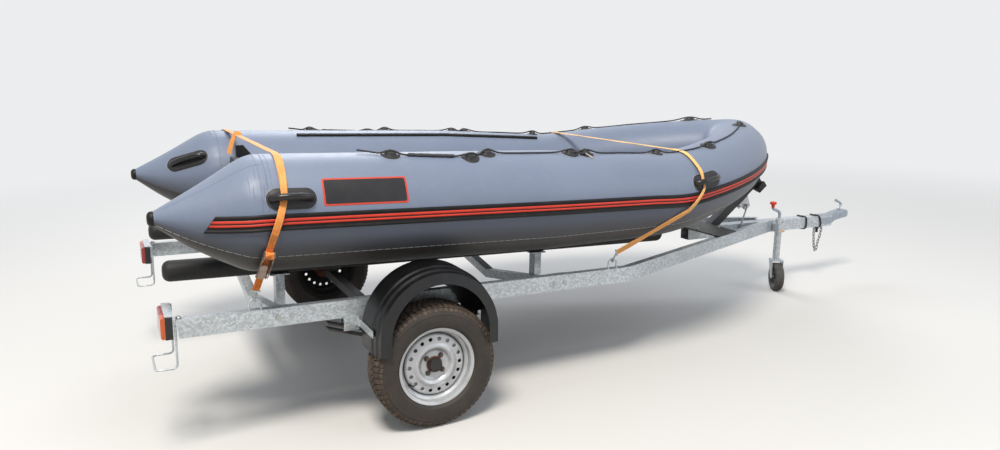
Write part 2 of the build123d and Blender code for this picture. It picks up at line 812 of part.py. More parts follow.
def make_lamp():
    """Housing and lens of the starboard lamp."""
    housing = block(lamp_x - housing_depth, lamp_x, -lamp_outer_y, -lamp_inner_y, lamp_bottom, lamp_top)
    housing = fillet(housing.edges().filter_by(Axis.X), 8)
    back = lamp_x - housing_depth
    lens = block(back - lens_depth, back, lens_inset - lamp_outer_y, -lamp_inner_y - lens_inset,
                 lamp_bottom + lens_inset, lamp_top - lens_inset)
    lens = chamfer(lens.faces().sort_by(Axis.X)[0].edges(), lens_bevel)
    return housing, lens


def make_bracket():
    """Plate in front of the lamp, folded back over its top."""
    low = lamp_bottom + bracket_drop
    high = lamp_top + seat_gap
    plate = block(bracket_x - bracket_sheet, bracket_x, -lamp_outer_y, -lamp_inner_y, low, high + bracket_sheet)
    lip = block(bracket_x - bracket_lip, bracket_x, -lamp_outer_y, -lamp_inner_y, high, high + bracket_sheet)
    return plate + lip


def make_guard():
    """Round bar down from the bracket, back, across and forward again."""
    outer = guard_radius - lamp_outer_y
    inner = -lamp_inner_y - guard_radius
    back = guard_x - guard_reach
    corners = [(guard_x, outer, rail_top), (guard_x, outer, guard_low), (back, outer, guard_low),
               (back, inner, guard_low), (guard_x, inner, guard_low), (guard_x, inner, lamp_top)]
    return bent_rod(corners, guard_bend, guard_radius)


housing, lens = make_lamp()
bracket = make_bracket()
guard = make_guard()
save("lamp_housings", housing, mirrored(housing))
save("lamp_lenses", lens, mirrored(lens))
save("lamp_brackets", bracket, mirrored(bracket))
save("lamp_guards", guard, mirrored(guard))

# Coupling head
coupling_width = 62
coupling_rear = drawbar_front - 120
ball_radius = 25
ball_x = 3790


def make_coupling():
    """Pressed coupling head over the drawbar's end, with its ball socket."""
    top = drawbar_top + 34
    outline = [(coupling_rear, drawbar_top), (coupling_rear, drawbar_top + 5), (drawbar_front, top - 8),
               (ball_x - 20, top), (ball_x + 42, top - 8), (ball_x + 52, top - 30), (ball_x + 52, top - 62),
               (drawbar_front + 30, top - 62), (drawbar_front + 8, drawbar_top)]
    body = extrude(Plane.XZ * make_face(Polyline(*outline, close=True)), coupling_width / 2, both=True)
    body = fillet(body.edges().filter_by(Axis.Y).sort_by(Axis.X)[-2:], 10)
    socket = Pos(ball_x, 0, top - 75) * extrude(Circle(ball_radius + 0.5), 45)
    return body - socket


coupling = make_coupling()
save("coupling_head", coupling)
lever = bent_rod([(ball_x - 30, 0, drawbar_top + 32), (ball_x + 10, 0, drawbar_top + 70),
                  (ball_x - 60, 0, drawbar_top + 96)], 12, 6)
save("coupling_lever", lever - coupling)

# Rubber rings that hold the cable on the drawbar
ring_places = (3285, 3395)
ring_bar = 7


def make_ring(x):
    """Square rubber band round the drawbar."""
    inner = drawbar_size / 2
    outer = inner + ring_bar
    half = ring_bar / 2
    band = block(x - half, x + half, -outer, outer, drawbar_bottom - ring_bar, drawbar_top + ring_bar)
    band = fillet(band.edges().filter_by(Axis.X), ring_bar)
    return band - block(x - ring_bar, x + ring_bar, -inner, inner, drawbar_bottom, drawbar_top)


save("cable_rings", *[make_ring(x) for x in ring_places])

# Jockey wheel on the starboard side of the drawbar
stem_top = drawbar_top + 30
fork_gap = 12
fork_plate = 8
swivel_radius = 12
swivel_length = 40
jockey_pin_radius = 6


def level_height(x, height):
    """Height on the level frame of a point that stands this high above the ground when parked."""
    tilt = radians(park_slope)
    return wheel_radius + (height - wheel_radius + x * sin(tilt)) / cos(tilt)


caster_lean = sin(radians(park_slope)) * sin(radians(caster_turn))
jockey_axle_height = (jockey_wheel_radius - jockey_tread_round) * sqrt(1 - caster_lean ** 2) \
    + jockey_tread_round + (jockey_wheel_width / 2 - jockey_tread_round) * caster_lean
jockey_axle_z = level_height(jockey_x - jockey_trail * cos(radians(caster_turn)), jockey_axle_height)
fork_top = jockey_axle_z + jockey_wheel_radius + fork_gap + fork_plate
leg_bottom = fork_top + seat_gap
stem_bottom = leg_bottom + 10
clamp_half = 30
clamp = block(jockey_x - clamp_half, jockey_x + clamp_half, jockey_y - jockey_outer_radius - 8, -drawbar_size / 2,
              drawbar_bottom + 10, drawbar_top - 10)
clamp = clamp - rod((jockey_x, jockey_y, drawbar_bottom - 50), (jockey_x, jockey_y, drawbar_top + 50),
                    jockey_outer_radius)
save("jockey_clamp", clamp)
outer = rod((jockey_x, jockey_y, stem_bottom), (jockey_x, jockey_y, stem_top), jockey_outer_radius)
outer = outer - rod((jockey_x, jockey_y, stem_bottom - 1), (jockey_x, jockey_y, stem_top - 12),
                    jockey_inner_radius + running_gap)
save("jockey_sleeve", outer)
crank_radius = 8
crank_height = 80
crank_offset = 70
crank_line = [(jockey_x, jockey_y, stem_top), (jockey_x, jockey_y, stem_top + crank_height * 0.3),
              (jockey_x - crank_offset, jockey_y, stem_top + crank_height * 0.7),
              (jockey_x - crank_offset, jockey_y, stem_top + crank_height)]
save("jockey_crank", bent_rod(crank_line, 14, crank_radius))
knob_profile = [(0, 0), (11, 0), (12, 18), (23, 26), (23, 38), (16, 43), (0, 43)]
knob = revolve(Plane.XZ * make_face(Polyline(*knob_profile, close=True)), Axis.Z)
save("jockey_knob", Pos(jockey_x - crank_offset, jockey_y, stem_top + crank_height) * knob)
screw_y = jockey_y + 30
screw_z = drawbar_bottom + drawbar_size / 2
screw_end = jockey_x + clamp_half + 32
toggle_half = 32
screw = rod((jockey_x + clamp_half, screw_y, screw_z), (screw_end, screw_y, screw_z), 6)
toggle = rod((screw_end, screw_y, screw_z - toggle_half), (screw_end, screw_y, screw_z + toggle_half), 8)
save("clamp_handle", screw + toggle)

leg = rod((jockey_x, jockey_y, leg_bottom), (jockey_x, jockey_y, stem_top - 60), jockey_inner_radius)
leg = leg - rod((jockey_x, jockey_y, leg_bottom - 1), (jockey_x, jockey_y, leg_bottom + swivel_length + 2),
                swivel_radius + running_gap)
save("jockey_leg", leg)


def make_fork():
    """Caster fork: two cheeks under a round head, drawn straight ahead and then turned."""
    half = jockey_wheel_width / 2 + 6
    head = Pos(0, 0, fork_top - fork_plate) * extrude(Circle(30), fork_plate)
    head = head + Pos(0, 0, fork_top) * extrude(Circle(swivel_radius), swivel_length)
    fork = head + block(-jockey_trail - 12, 30, -half - 4, half + 4, fork_top - fork_plate, fork_top)
    for side in (-1, 1):
        outline = [(30, fork_top), (-jockey_trail - 12, fork_top), (-jockey_trail - 16, jockey_axle_z - 12),
                   (-jockey_trail + 16, jockey_axle_z - 12)]
        cheek = extrude(Plane.XZ * make_face(Polyline(*outline, close=True)), 2, both=True)
        fork = fork + Pos(0, side * (half + 2), 0) * cheek
    pin_half = half + 2
    pin = rod((-jockey_trail, -pin_half, jockey_axle_z), (-jockey_trail, pin_half, jockey_axle_z),
              jockey_pin_radius)
    return fork + pin


caster = Pos(jockey_x, jockey_y, 0) * Rot(0, 0, caster_turn)
save("jockey_fork", caster * make_fork())
roller = extrude(Circle(jockey_wheel_radius), jockey_wheel_width)
roller = roller - extrude(Circle(jockey_pin_radius + running_gap), jockey_wheel_width)
small_wheel = Pos(-jockey_trail, jockey_wheel_width / 2, jockey_axle_z) * Rot(90, 0, 0) * roller
small_wheel = fillet(small_wheel.edges().filter_by(GeomType.CIRCLE).sort_by(SortBy.RADIUS)[-2:],
                     jockey_tread_round)
save("jockey_wheel", caster * small_wheel)

# Winch post and bow support
post_foot = (2480, 0, drawbar_top)
post_height = 300
post_rake = 370
post_head = (post_foot[0] + post_rake, 0, drawbar_top + post_height)
post_size = 60


def make_winch_post():
    """Raked square post on the drawbar."""
    direction = Vector(*post_head) - Vector(*post_foot)
    start = Vector(*post_foot) - direction.normalized() * post_size
    plane = Plane(origin=start, x_dir=(0, 1, 0), z_dir=direction)
    post = extrude(plane * Rectangle(post_size, post_size), direction.length + post_size)
    return post - block(drawbar_rear, drawbar_front, -post_size, post_size, 0, drawbar_top)


save("winch_post", make_winch_post())

# Winch on the post's upper face, with its crank hanging, and the rubber stop on the head
post_run = Vector(*post_head) - Vector(*post_foot)
winch_share = 0.63
winch_cheek = 4
winch_half_width = 34
winch_length = 100
winch_height = 76
drum_radius = 24
winch_arm = 180
winch_arm_lean = 20
winch_grip = 35
winch_rod = 9
stop_length = 76
stop_height = 42
stop_half_width = 60
stop_overhang = 30


def on_post(share):
    """Plane on the post's upper face: x axis along the post, z axis off the face."""
    along = post_run.normalized()
    off = along.cross(Vector(0, 1, 0)) * -1
    return Plane(origin=Vector(*post_foot) + post_run * share + off * (post_size / 2), x_dir=along, z_dir=off)


def make_winch():
    """Two cheeks on a base with the drum between them."""
    base = Pos(0, 0, winch_cheek / 2) * Box(winch_length, 2 * winch_half_width, winch_cheek)
    half = winch_length / 2
    for side in (-1, 1):
        outline = Polyline((-half, 0), (-half / 2, winch_height), (half / 2, winch_height), (half, 0), close=True)
        cheek = extrude(Plane.XZ * make_face(outline), winch_cheek / 2, both=True)
        base = base + Pos(0, side * (winch_half_width - winch_cheek / 2), 0) * cheek
    drum = Pos(0, winch_half_width, winch_height * 0.6) * Rot(90, 0, 0)
    return on_post(winch_share) * (base + drum * extrude(Circle(drum_radius), 2 * winch_half_width))


def make_winch_crank():
    """Arm that hangs from the drum's axle, with a short grip."""
    axle = on_post(winch_share).from_local_coords((0, 0, winch_height * 0.6))
    side = -winch_half_width - seat_gap
    arm_y = side - 15
    lean = radians(winch_arm_lean)
    end = Vector(axle.X - winch_arm * sin(lean), arm_y, axle.Z - winch_arm * cos(lean))
    arm = rod((axle.X, side, axle.Z), (axle.X, arm_y - 8, axle.Z), winch_rod)
    arm = arm + rod((axle.X, arm_y, axle.Z), (end.X, arm_y, end.Z), 6)
    return arm + rod((end.X, arm_y + 8, end.Z), (end.X, arm_y - winch_grip, end.Z), winch_rod)


def make_bow_stop():
    """Rubber block with a V for the bow, hooked over the post's end."""
    middle = stop_overhang - stop_length / 2
    body = Pos(middle, 0, stop_height / 2) * Box(stop_length, 2 * stop_half_width, stop_height)
    notch = Polyline((-stop_half_width * 0.8, stop_height + 1), (0, stop_height * 0.4),
                     (stop_half_width * 0.8, stop_height + 1), close=True)
    body = body - extrude(Plane.YZ * make_face(notch), stop_length, both=True)
    lip = Pos(stop_overhang / 2, 0, -post_size / 4) * Box(stop_overhang, post_size, post_size / 2)
    place = on_post(1)
    inside = Pos(-stop_length / 2, 0, -post_size / 2) * Box(stop_length, post_size, post_size)
    return place * (body + lip - inside)


save("winch", make_winch(), make_winch_crank())
save("bow_stop", make_bow_stop())

# Plate under the bow
support_rear = 2190
support_length = 240
support_front = support_rear + support_length
support_thickness = 8


def rail_outer_y(x):
    """Half width of the frame over the rails, forward of the bend."""
    share = (x - frame_bend) / (rail_nose - frame_bend)
    return frame_half_width + share * (rail_nose_half_width - frame_half_width)


def make_bow_support():
    """Plate across the two rails under the bow."""
    rear = rail_outer_y(support_rear) - 6
    front = rail_outer_y(support_front) - 6
    outline = [(support_rear, -rear), (support_front, -front), (support_front, front), (support_rear, rear)]
    return Pos(0, 0, rail_top) * extrude(make_face(Polyline(*outline, close=True)), support_thickness)


save("bow_support", make_bow_support())

# Tie-down loops on the rails
loop_places = (-740, 1095)
loop_width = 50
loop_height = 45
loop_radius = 4.5


def make_loop(x):
    """Round-bar hoop that stands on the rail's top flange."""
    y = -frame_half_width + rail_width / 2
    half = loop_width / 2
    top = rail_top + loop_height
    points = [(x - half, y, rail_top), (x - half, y, top), (x + half, y, top), (x + half, y, rail_top)]
    return bent_rod(points, 18, loop_radius)


loops = [make_loop(x) for x in loop_places]
save("tie_loops", *loops, *[mirrored(loop) for loop in loops])

# Webbing straps over the boat, their hooks and the ratchet
strap_width = 32
strap_thickness = 2.5
hook_radius = 4
hook_clear = loop_radius + hook_radius + seat_gap
hook_arm = 45
hook_bar = 40
rear_strap_route = ((-676, -9.5, 17.5), (-662, 0, 19), (-648, 10, 17.5), (-633, 21.5, 9), (-630, 33, 13),
                    (-627, 50, 6.5), (-624, 70, 6.5), (-622, 90, 3.5))
front_strap_route = ((1460, -14, 18), (1513, -2, 20), (1562, 10, 18), (1576, 20, 9), (1582, 33, 14),
                     (1592, 50, 7), (1604, 70, 7), (1615, 90, 4))
ratchet_length = 165
ratchet_height = 28
ratchet_share = 0.45


def hook_top(loop_x):
    """Middle of the cross-bar over one tie-down loop, where the strap is sewn on."""
    loop_y = -frame_half_width + rail_width / 2
    return Vector(loop_x, loop_y - hook_clear - hook_arm * 0.54, rail_top + loop_height + hook_arm)


def strap_points(route, loop_x):
    """Corners of the strap on the starboard side with the directions off the skin, from the hook up."""
    corners = [(on_skin(x, angle, lift), on_tube(x, angle).z_dir) for x, angle, lift in route]
    first, off = corners[0]
    run = (first - hook_top(loop_x)).normalized()
    return [(hook_top(loop_x) + run * (hook_radius + seat_gap), off)] + corners


def strap_plane(point, off, way):
    """Plane square to the strap: x axis across it, y axis off the skin."""
    off = (off - way * off.dot(way)).normalized()
    return Plane(origin=point + off * (strap_thickness / 2), x_dir=off.cross(way), z_dir=way)


def make_hook(route, loop_x):
    """Wire hook under the top bar of a tie-down loop, with a cross-bar for the strap."""
    loop_y = -frame_half_width + rail_width / 2
    bar_z = rail_top + loop_height
    top = hook_top(loop_x)
    near, far, low = loop_y - hook_clear, loop_y + hook_clear, bar_z - hook_clear
    points = [(loop_x, top.Y, top.Z), (loop_x, near, bar_z + 8), (loop_x, near, low), (loop_x, far, low),
              (loop_x, far, bar_z + 4)]
    (start, off), (end, other) = strap_points(route, loop_x)[:2]
    across = strap_plane(start, off, (end - start).normalized()).x_dir * (hook_bar / 2)
    first, last = top - across, top + across
    bar = rod((first.X, first.Y, first.Z), (last.X, last.Y, last.Z), hook_radius)
    return bent_rod(points, 6, hook_radius) + bar


def make_strap(route, loop_x):
    """Flat webbing from hook to hook across the boat."""
    half = strap_points(route, loop_x)
    other = [(Vector(p.X, -p.Y, p.Z), Vector(n.X, -n.Y, n.Z)) for p, n in reversed(half)]
    line = half + other
    sections = []
    for i, (point, off) in enumerate(line):
        before = line[max(i - 1, 0)][0]
        after = line[min(i + 1, len(line) - 1)][0]
        plane = strap_plane(point, off, (after - before).normalized())
        sections.append(plane * Rectangle(strap_width, strap_thickness))
    return loft(sections, ruled=True)


def make_ratchet():
    """Buckle on the rear strap: two cheeks, the spool, a bar and the closed lever."""
    (low, off), (high, other) = strap_points(rear_strap_route, loop_places[0])[:2]
    strap = strap_plane(low + (high - low) * ratchet_share, off, (high - low).normalized())
    outer_face = strap.origin + strap.y_dir * (strap_thickness / 2)
    plane = Plane(origin=outer_face, x_dir=strap.x_dir, z_dir=strap.y_dir)
    half = strap_width / 2 + 1
    cheek = Plane.YZ * SlotOverall(ratchet_length, ratchet_height)
    buckle = Pos(half, 0, ratchet_height / 2 - 4) * extrude(cheek, 3)
    buckle = buckle + Pos(-half - 3, 0, ratchet_height / 2 - 4) * extrude(cheek, 3)
    for along, radius in ((10, 9), (-62, 5), (62, 5)):
        pin = Pos(-half - 1, along, radius + seat_gap) * Rot(0, 90, 0) * extrude(Circle(radius), 2 * half + 2)
        buckle = buckle + pin
    lever = Pos(0, -15, ratchet_height - 4) * Box(2 * half + 6, 100, 4)
    return plane * (buckle + lever)


strap_places = list(zip((rear_strap_route, front_strap_route), loop_places))
save("lashing_straps", *[make_strap(route, loop_x) for route, loop_x in strap_places])
hooks = [make_hook(route, loop_x) for route, loop_x in strap_places]
save("strap_hooks", *hooks, *[mirrored(hook) for hook in hooks])
save("ratchet", make_ratchet())
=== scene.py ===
from math import acos, atan2, cos, exp, hypot, pi, radians, sin, sqrt, tan

import bmesh
import bpy
from mathutils import Matrix, Vector, noise


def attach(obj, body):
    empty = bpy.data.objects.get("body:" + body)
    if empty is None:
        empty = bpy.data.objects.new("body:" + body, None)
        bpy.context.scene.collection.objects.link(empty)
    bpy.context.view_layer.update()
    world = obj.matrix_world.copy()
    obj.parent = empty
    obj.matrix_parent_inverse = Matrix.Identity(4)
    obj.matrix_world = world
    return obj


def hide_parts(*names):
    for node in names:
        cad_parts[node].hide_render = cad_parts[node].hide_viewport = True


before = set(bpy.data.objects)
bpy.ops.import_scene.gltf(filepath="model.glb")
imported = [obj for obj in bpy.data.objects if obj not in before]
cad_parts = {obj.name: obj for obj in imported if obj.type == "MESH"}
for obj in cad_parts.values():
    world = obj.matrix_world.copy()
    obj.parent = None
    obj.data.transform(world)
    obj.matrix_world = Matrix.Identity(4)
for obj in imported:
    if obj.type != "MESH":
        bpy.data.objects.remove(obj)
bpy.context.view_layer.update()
OUTFIT = "boat_on_trailer"

# Camera and studio.
# The camera stands off the starboard quarter at eye height and looks slightly down, as in the photograph.
# A pale floor and soft light all round; the key lamp is high on the left.
CAMERA_PLACE, CAMERA_REACH = (-2.5954, -4.0886, 1.6179), 200
FOCAL_PIXELS, PICTURE_PIXELS, SENSOR_WIDTH = 781.25, 1000, 36
yaw, pitch, roll = 0.4705, 0.2041, -0.0059


def linked(name, data=None):
    """An object in the scene with this data, or with an empty mesh."""
    made = bpy.data.objects.new(name, data or bpy.data.meshes.new(name))
    bpy.context.scene.collection.objects.link(made)
    return made


camera = linked("camera", bpy.data.cameras.new("camera"))
bpy.context.scene.camera = camera
bpy.context.scene.view_settings.view_transform = "Standard"
ahead = Vector((sin(yaw) * cos(pitch), cos(yaw) * cos(pitch), -sin(pitch)))
right = ahead.cross(Vector((0, 0, 1))).normalized()
up = right.cross(ahead)
level_right = right * cos(roll) + up * sin(roll)
level_up = up * cos(roll) - right * sin(roll)
camera.matrix_world = Matrix.Translation(CAMERA_PLACE) @ Matrix((level_right, level_up, -ahead)).transposed().to_4x4()
camera.data.sensor_width = SENSOR_WIDTH
camera.data.lens = SENSOR_WIDTH * FOCAL_PIXELS / PICTURE_PIXELS
camera.data.clip_end = CAMERA_REACH


def srgb(code):
    """A sRGB hex colour as linear red, green, blue, alpha."""
    parts = [int(code[i:i + 2], 16) / 255 for i in (1, 3, 5)]
    return (*(c / 12.92 if c <= 0.04045 else ((c + 0.055) / 1.055) ** 2.4 for c in parts), 1.0)


def add(tree, kind, settings=(), sockets=()):
    """Add a node: settings are its properties, sockets its inputs, given as values or as (node, output) links."""
    made = tree.nodes.new(kind)
    for name, value in dict(settings).items():
        setattr(made, name, value)
    for name, value in dict(sockets).items():
        if isinstance(value, tuple) and isinstance(value[0], bpy.types.Node):
            tree.links.new(value[0].outputs[value[1]], made.inputs[name])
        else:
            made.inputs[name].default_value = value
    return made


def new_material(name):
    """An empty material with its shader."""
    material = bpy.data.materials.new(name)
    material.use_nodes = True
    return material, material.node_tree, material.node_tree.nodes["Principled BSDF"]


world = bpy.data.worlds.new("soft_box")
bpy.context.scene.world = world
world.use_nodes = True
sky = world.node_tree
sky.nodes.clear()
BACKDROP, BACKDROP_STRENGTH = "#F2F3F4", 0.95


def seen_rays(tree):
    """Where a tree is met by the camera, or through gloss or glass."""
    rays = add(tree, "ShaderNodeLightPath")
    clear = add(tree, "ShaderNodeMath", {"operation": "MAXIMUM"},
                {0: (rays, "Is Glossy Ray"), 1: (rays, "Is Transmission Ray")})
    return add(tree, "ShaderNodeMath", {"operation": "MAXIMUM"}, {0: (rays, "Is Camera Ray"), 1: (clear, 0)})


seen = seen_rays(sky)
glow = add(sky, "ShaderNodeBackground", {}, {"Color": srgb("#E9EEF4"), "Strength": 0.62})
white = add(sky, "ShaderNodeBackground", {}, {"Color": srgb(BACKDROP), "Strength": BACKDROP_STRENGTH})
choice = add(sky, "ShaderNodeMixShader", {}, {"Fac": (seen, 0), 1: (glow, 0), 2: (white, 0)})
add(sky, "ShaderNodeOutputWorld", {}, {"Surface": (choice, 0)})

for name, place, target, size, power, tint in (
        ("key", (-3.5, -4.0, 8.5), (-0.4, 0, 0.6), 3.0, 760, "#FFF8EE"),
        ("fill", (5.5, -6.5, 4.5), (0.4, 0, 0.6), 5.0, 130, "#EAF1FF"),
        ("back", (1.0, 7.0, 6.0), (0, 0, 0.8), 5.0, 300, "#F4F7FF")):
    lamp = linked(name + "_lamp", bpy.data.lights.new(name + "_lamp", "AREA"))
    lamp.data.shape = "DISK"
    lamp.data.size = size
    lamp.data.energy = power
    lamp.data.color = srgb(tint)[:3]
    lamp.location = place
    lamp.rotation_euler = (Vector(target) - Vector(place)).to_track_quat("-Z", "Y").to_euler()

FLOOR_REACH = 60
ground = linked("studio_floor")
ground.data.from_pydata([(x * FLOOR_REACH, y * FLOOR_REACH, 0) for x, y in ((-1, -1), (1, -1), (1, 1), (-1, 1))], [],
                        [(0, 1, 2, 3)])
floor_paint, tree, shader = new_material("matt_floor_paint")
shader.inputs["Roughness"].default_value = 0.9
# Away from the outfit the floor runs into the background's own white, so no horizon shows.
where = add(tree, "ShaderNodeTexCoord")
away = add(tree, "ShaderNodeVectorMath", {"operation": "LENGTH"}, {0: (where, "Object")})
far = add(tree, "ShaderNodeMapRange", {"interpolation_type": "SMOOTHSTEP"},
          {"Value": (away, "Value"), "From Min": 3.2, "From Max": 10.0})
seen = seen_rays(tree)
share = add(tree, "ShaderNodeMath", {"operation": "MULTIPLY"}, {0: (far, 0), 1: (seen, 0)})
# The paint looks pale, but throws back only as much light under the hull as a road does.
paint = add(tree, "ShaderNodeMix", {"data_type": "RGBA"}, {0: (seen, 0), 6: srgb("#8F8880"), 7: srgb("#DDDCD9")})
tree.links.new(paint.outputs[2], shader.inputs["Base Color"])
white = add(tree, "ShaderNodeEmission", {}, {"Color": srgb(BACKDROP), "Strength": BACKDROP_STRENGTH})
blend = add(tree, "ShaderNodeMixShader", {}, {"Fac": (share, 0), 1: (shader, 0), 2: (white, 0)})
tree.links.new(blend.outputs[0], tree.nodes["Material Output"].inputs["Surface"])
ground.data.materials.append(floor_paint)

# Attitude of the outfit.
# Boat and frame are set out on a level frame with the axle at zero, in metres.
# Standing on its jockey wheel, the nose is 1.49 degrees down, and the outfit's middle is the origin.
WHEEL_RADIUS, AXLE_X, NOSE_DOWN = 0.2875, -1.3522, radians(1.49)
park = Matrix.Translation((AXLE_X, 0, WHEEL_RADIUS)) @ Matrix.Rotation(NOSE_DOWN, 4, "Y") \
    @ Matrix.Translation((0, 0, -WHEEL_RADIUS))


def made_piece(name, points, faces, materials, picks=None, smooth=40, merge=False, body=OUTFIT, place=park):
    """A mesh piece from points on the level frame: parked, its faces outwards, smooth up to an angle, on a body."""
    mesh = bpy.data.meshes.new(name)
    mesh.from_pydata([tuple(p) for p in points], [], faces)
    for material in materials:
        mesh.materials.append(material)
    if picks:
        mesh.polygons.foreach_set("material_index", picks)
    mesh.transform(place)
    work = bmesh.new()
    work.from_mesh(mesh)
    if merge:
        bmesh.ops.remove_doubles(work, verts=work.verts, dist=1e-5)
    bmesh.ops.recalc_face_normals(work, faces=work.faces)
    work.to_mesh(mesh)
    work.free()
    mesh.shade_smooth()
    mesh.set_sharp_from_angle(angle=radians(smooth))
    piece = linked(name, mesh)
    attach(piece, body)
    return piece


def band_faces(rows, count, first=0, closed=False):
    """Faces between rows of points that each go once round, counted from a first point."""
    faces = []
    for i in range(rows if closed else rows - 1):
        near, far = first + i * count, first + (i + 1) % rows * count
        for k in range(count):
            m = (k + 1) % count
            faces.append((near + k, near + m, far + m, far + k))
    return faces


def loops_mesh(rings, closed=False):
    """Points and faces that join equal rings in turn, round to the first ring or with closed ends."""
    count = len(rings[0])
    points = [p for ring in rings for p in ring]
    faces = band_faces(len(rings), count, closed=closed)
    if not closed:
        faces.append(tuple(range(count))[::-1])
        faces.append(tuple((len(rings) - 1) * count + k for k in range(count)))
    return points, faces


def lofted(name, rings, materials, closed=False, **rest):
    """A mesh piece through equal rings of points."""
    points, faces = loops_mesh(rings, closed)
    return made_piece(name, points, faces, materials, **rest)


# Buoyancy tubes.
# Reinforced PVC fabric, welded with lapped seams: two straight sides, a swept-up pointed bow and two stern cones.
# Inflated hard, so the cloth is smooth but for small puckers where a cone is let in.
TUBE_Y, TUBE_STERN, STERN_Z, TUBE_RADIUS = 0.685, -0.690, 0.979, 0.252
BOW_START, BOW_RADIUS, CORNER = 1.250, 1.750, 0.050
CONE_LEAN = 0.117
# The axis falls a little along the sides and climbs through the bow, easing in over the first part of the climb.
SIDE_FALL, CLIMB_START, CLIMB_EASE, CLIMB_SLOPE = 0.0175, 1.380, 0.2, 0.16
# The tube slims over its forward half, and a little more through the bow.
SLIM_START, SLIM_RUN, SLIM_BY, BOW_SLIM_START, BOW_SLIM_BY = 0.7, 1.0, 0.037, 1.7, 0.015
# Stations, radii and rises of the stern cone from its tip, which a small cap closes.
cone_table = [(-1.108, 0.031, 0.010), (-1.000, 0.1005, -0.002), (-0.900, 0.1605, -0.006), (-0.820, 0.2065, -0.004),
              (-0.760, 0.2375, -0.002), (-0.715, 0.250, 0.0), (TUBE_STERN, TUBE_RADIUS, 0.0),
              (-0.640, TUBE_RADIUS, 0.0)]
TIP_X = cone_table[0][0]
bow_turn = acos((BOW_RADIUS - TUBE_Y) / (BOW_RADIUS - CORNER))
NOSE_X = BOW_START + BOW_RADIUS * sin(bow_turn) + CORNER * (1 - sin(bow_turn))
NOSE_R, NOSE_GAP = 0.200, 0.015
# Points round a ring, and stations in the cone, the side, the bow and half the nose.
AROUND, CONE_STEPS, SIDE_STEPS, BOW_STEPS, NOSE_STEPS = 112, 30, 44, 40, 12


def axis_z(x):
    """Height of the tube's axis."""
    run = max(x - CLIMB_START, 0)
    climbed = run * run / (2 * CLIMB_EASE) if run < CLIMB_EASE else run - CLIMB_EASE / 2
    return STERN_Z - SIDE_FALL * (x - TUBE_STERN) + CLIMB_SLOPE * climbed


def axis_y(x):
    """Half beam of the tube's axis."""
    return TUBE_Y if x <= BOW_START else TUBE_Y - BOW_RADIUS + sqrt(BOW_RADIUS ** 2 - (x - BOW_START) ** 2)


def cone_value(x, column):
    """Smooth curve through one column of the cone's table."""
    last = len(cone_table) - 2
    i = max(n for n in range(last) if cone_table[n][0] <= x + 1e-9)
    x0, x1 = cone_table[i][0], cone_table[i + 1][0]

    def slope(n):
        a, b = cone_table[max(n - 1, 0)], cone_table[min(n + 1, last + 1)]
        return (b[column] - a[column]) / (b[0] - a[0])
    t = (x - x0) / (x1 - x0)
    y0, y1 = cone_table[i][column], cone_table[i + 1][column]
    return (2 * t ** 3 - 3 * t ** 2 + 1) * y0 + (t ** 3 - 2 * t ** 2 + t) * (x1 - x0) * slope(i) \
        + (3 * t ** 2 - 2 * t ** 3) * y1 + (t ** 3 - t ** 2) * (x1 - x0) * slope(i + 1)


def radius(x):
    """Radius of the tube, with the cone aft of its seam."""
    if x < TUBE_STERN:
        return cone_value(x, 1)
    slim = TUBE_RADIUS - min(max((x - SLIM_START) / SLIM_RUN, 0), 1) * SLIM_BY
    return slim - min(max((x - BOW_SLIM_START) / (NOSE_X - BOW_SLIM_START), 0), 1) * BOW_SLIM_BY


def station(x):
    """Middle of the starboard tube at a station, with its outboard, upward and forward directions."""
    if x < TUBE_STERN:
        centre = Vector((x, -TUBE_Y - CONE_LEAN * (TUBE_STERN - x), STERN_Z + cone_value(x, 2)))
        return centre, Vector((0, -1, 0)), Vector((0, 0, 1)), Vector((1, 0, 0))
    turn = 0 if x <= BOW_START else (x - BOW_START) / BOW_RADIUS
    plan = Vector((sqrt(1 - turn ** 2), turn, 0))
    climb = (axis_z(x + 0.001) - axis_z(x - 0.001)) / 0.002 * plan.x
    forward = (plan + Vector((0, 0, climb))).normalized()
    outboard = forward.cross(Vector((0, 0, 1))).normalized()
    return Vector((x, -axis_y(x), axis_z(x))), outboard, outboard.cross(forward), forward


def ring_at(x):
    """Ring round the tube at one station, by angle up from the outboard side."""
    centre, outboard, upward, _ = station(x)
    return centre, outboard * radius(x), upward * radius(x)


def nose_ring(turn):
    """Ring through the pointed nose, at an angle from straight ahead."""
    inner_x = NOSE_X - NOSE_R / sin(bow_turn)
    corner = NOSE_X - inner_x
    swing = pi / 2 - bow_turn
    seam = atan2(NOSE_R * cos(bow_turn), corner + NOSE_R * sin(bow_turn))
    if turn >= seam:
        length = 2 * NOSE_R / cos(swing - turn)
    else:
        length = corner * cos(turn) + sqrt(NOSE_R ** 2 - (corner * sin(turn)) ** 2)
    outward = Vector((cos(turn), -sin(turn), 0))
    centre = Vector((inner_x, 0, 0)) + outward * (length / 2)
    centre.z = axis_z(centre.x)
    return centre, outward * (length / 2), Vector((0, 0, NOSE_R))


bow_end = NOSE_X - NOSE_R * cos(bow_turn) / tan(bow_turn) - NOSE_GAP
cone_places = [TIP_X + (TUBE_STERN - TIP_X) * i / CONE_STEPS for i in range(CONE_STEPS)]
side_places = [TUBE_STERN + (BOW_START - TUBE_STERN) * i / SIDE_STEPS for i in range(SIDE_STEPS)]
bow_places = [BOW_START + (bow_end - BOW_START) * i / BOW_STEPS for i in range(BOW_STEPS + 1)]
half_rings = [ring_at(x) for x in cone_places + side_places + bow_places]
half_rings += [nose_ring((pi / 2 - bow_turn) * (1 - i / NOSE_STEPS)) for i in range(1, NOSE_STEPS)]


def mirrored(v):
    """The same point or direction on the port side."""
    return Vector((v.x, -v.y, v.z))


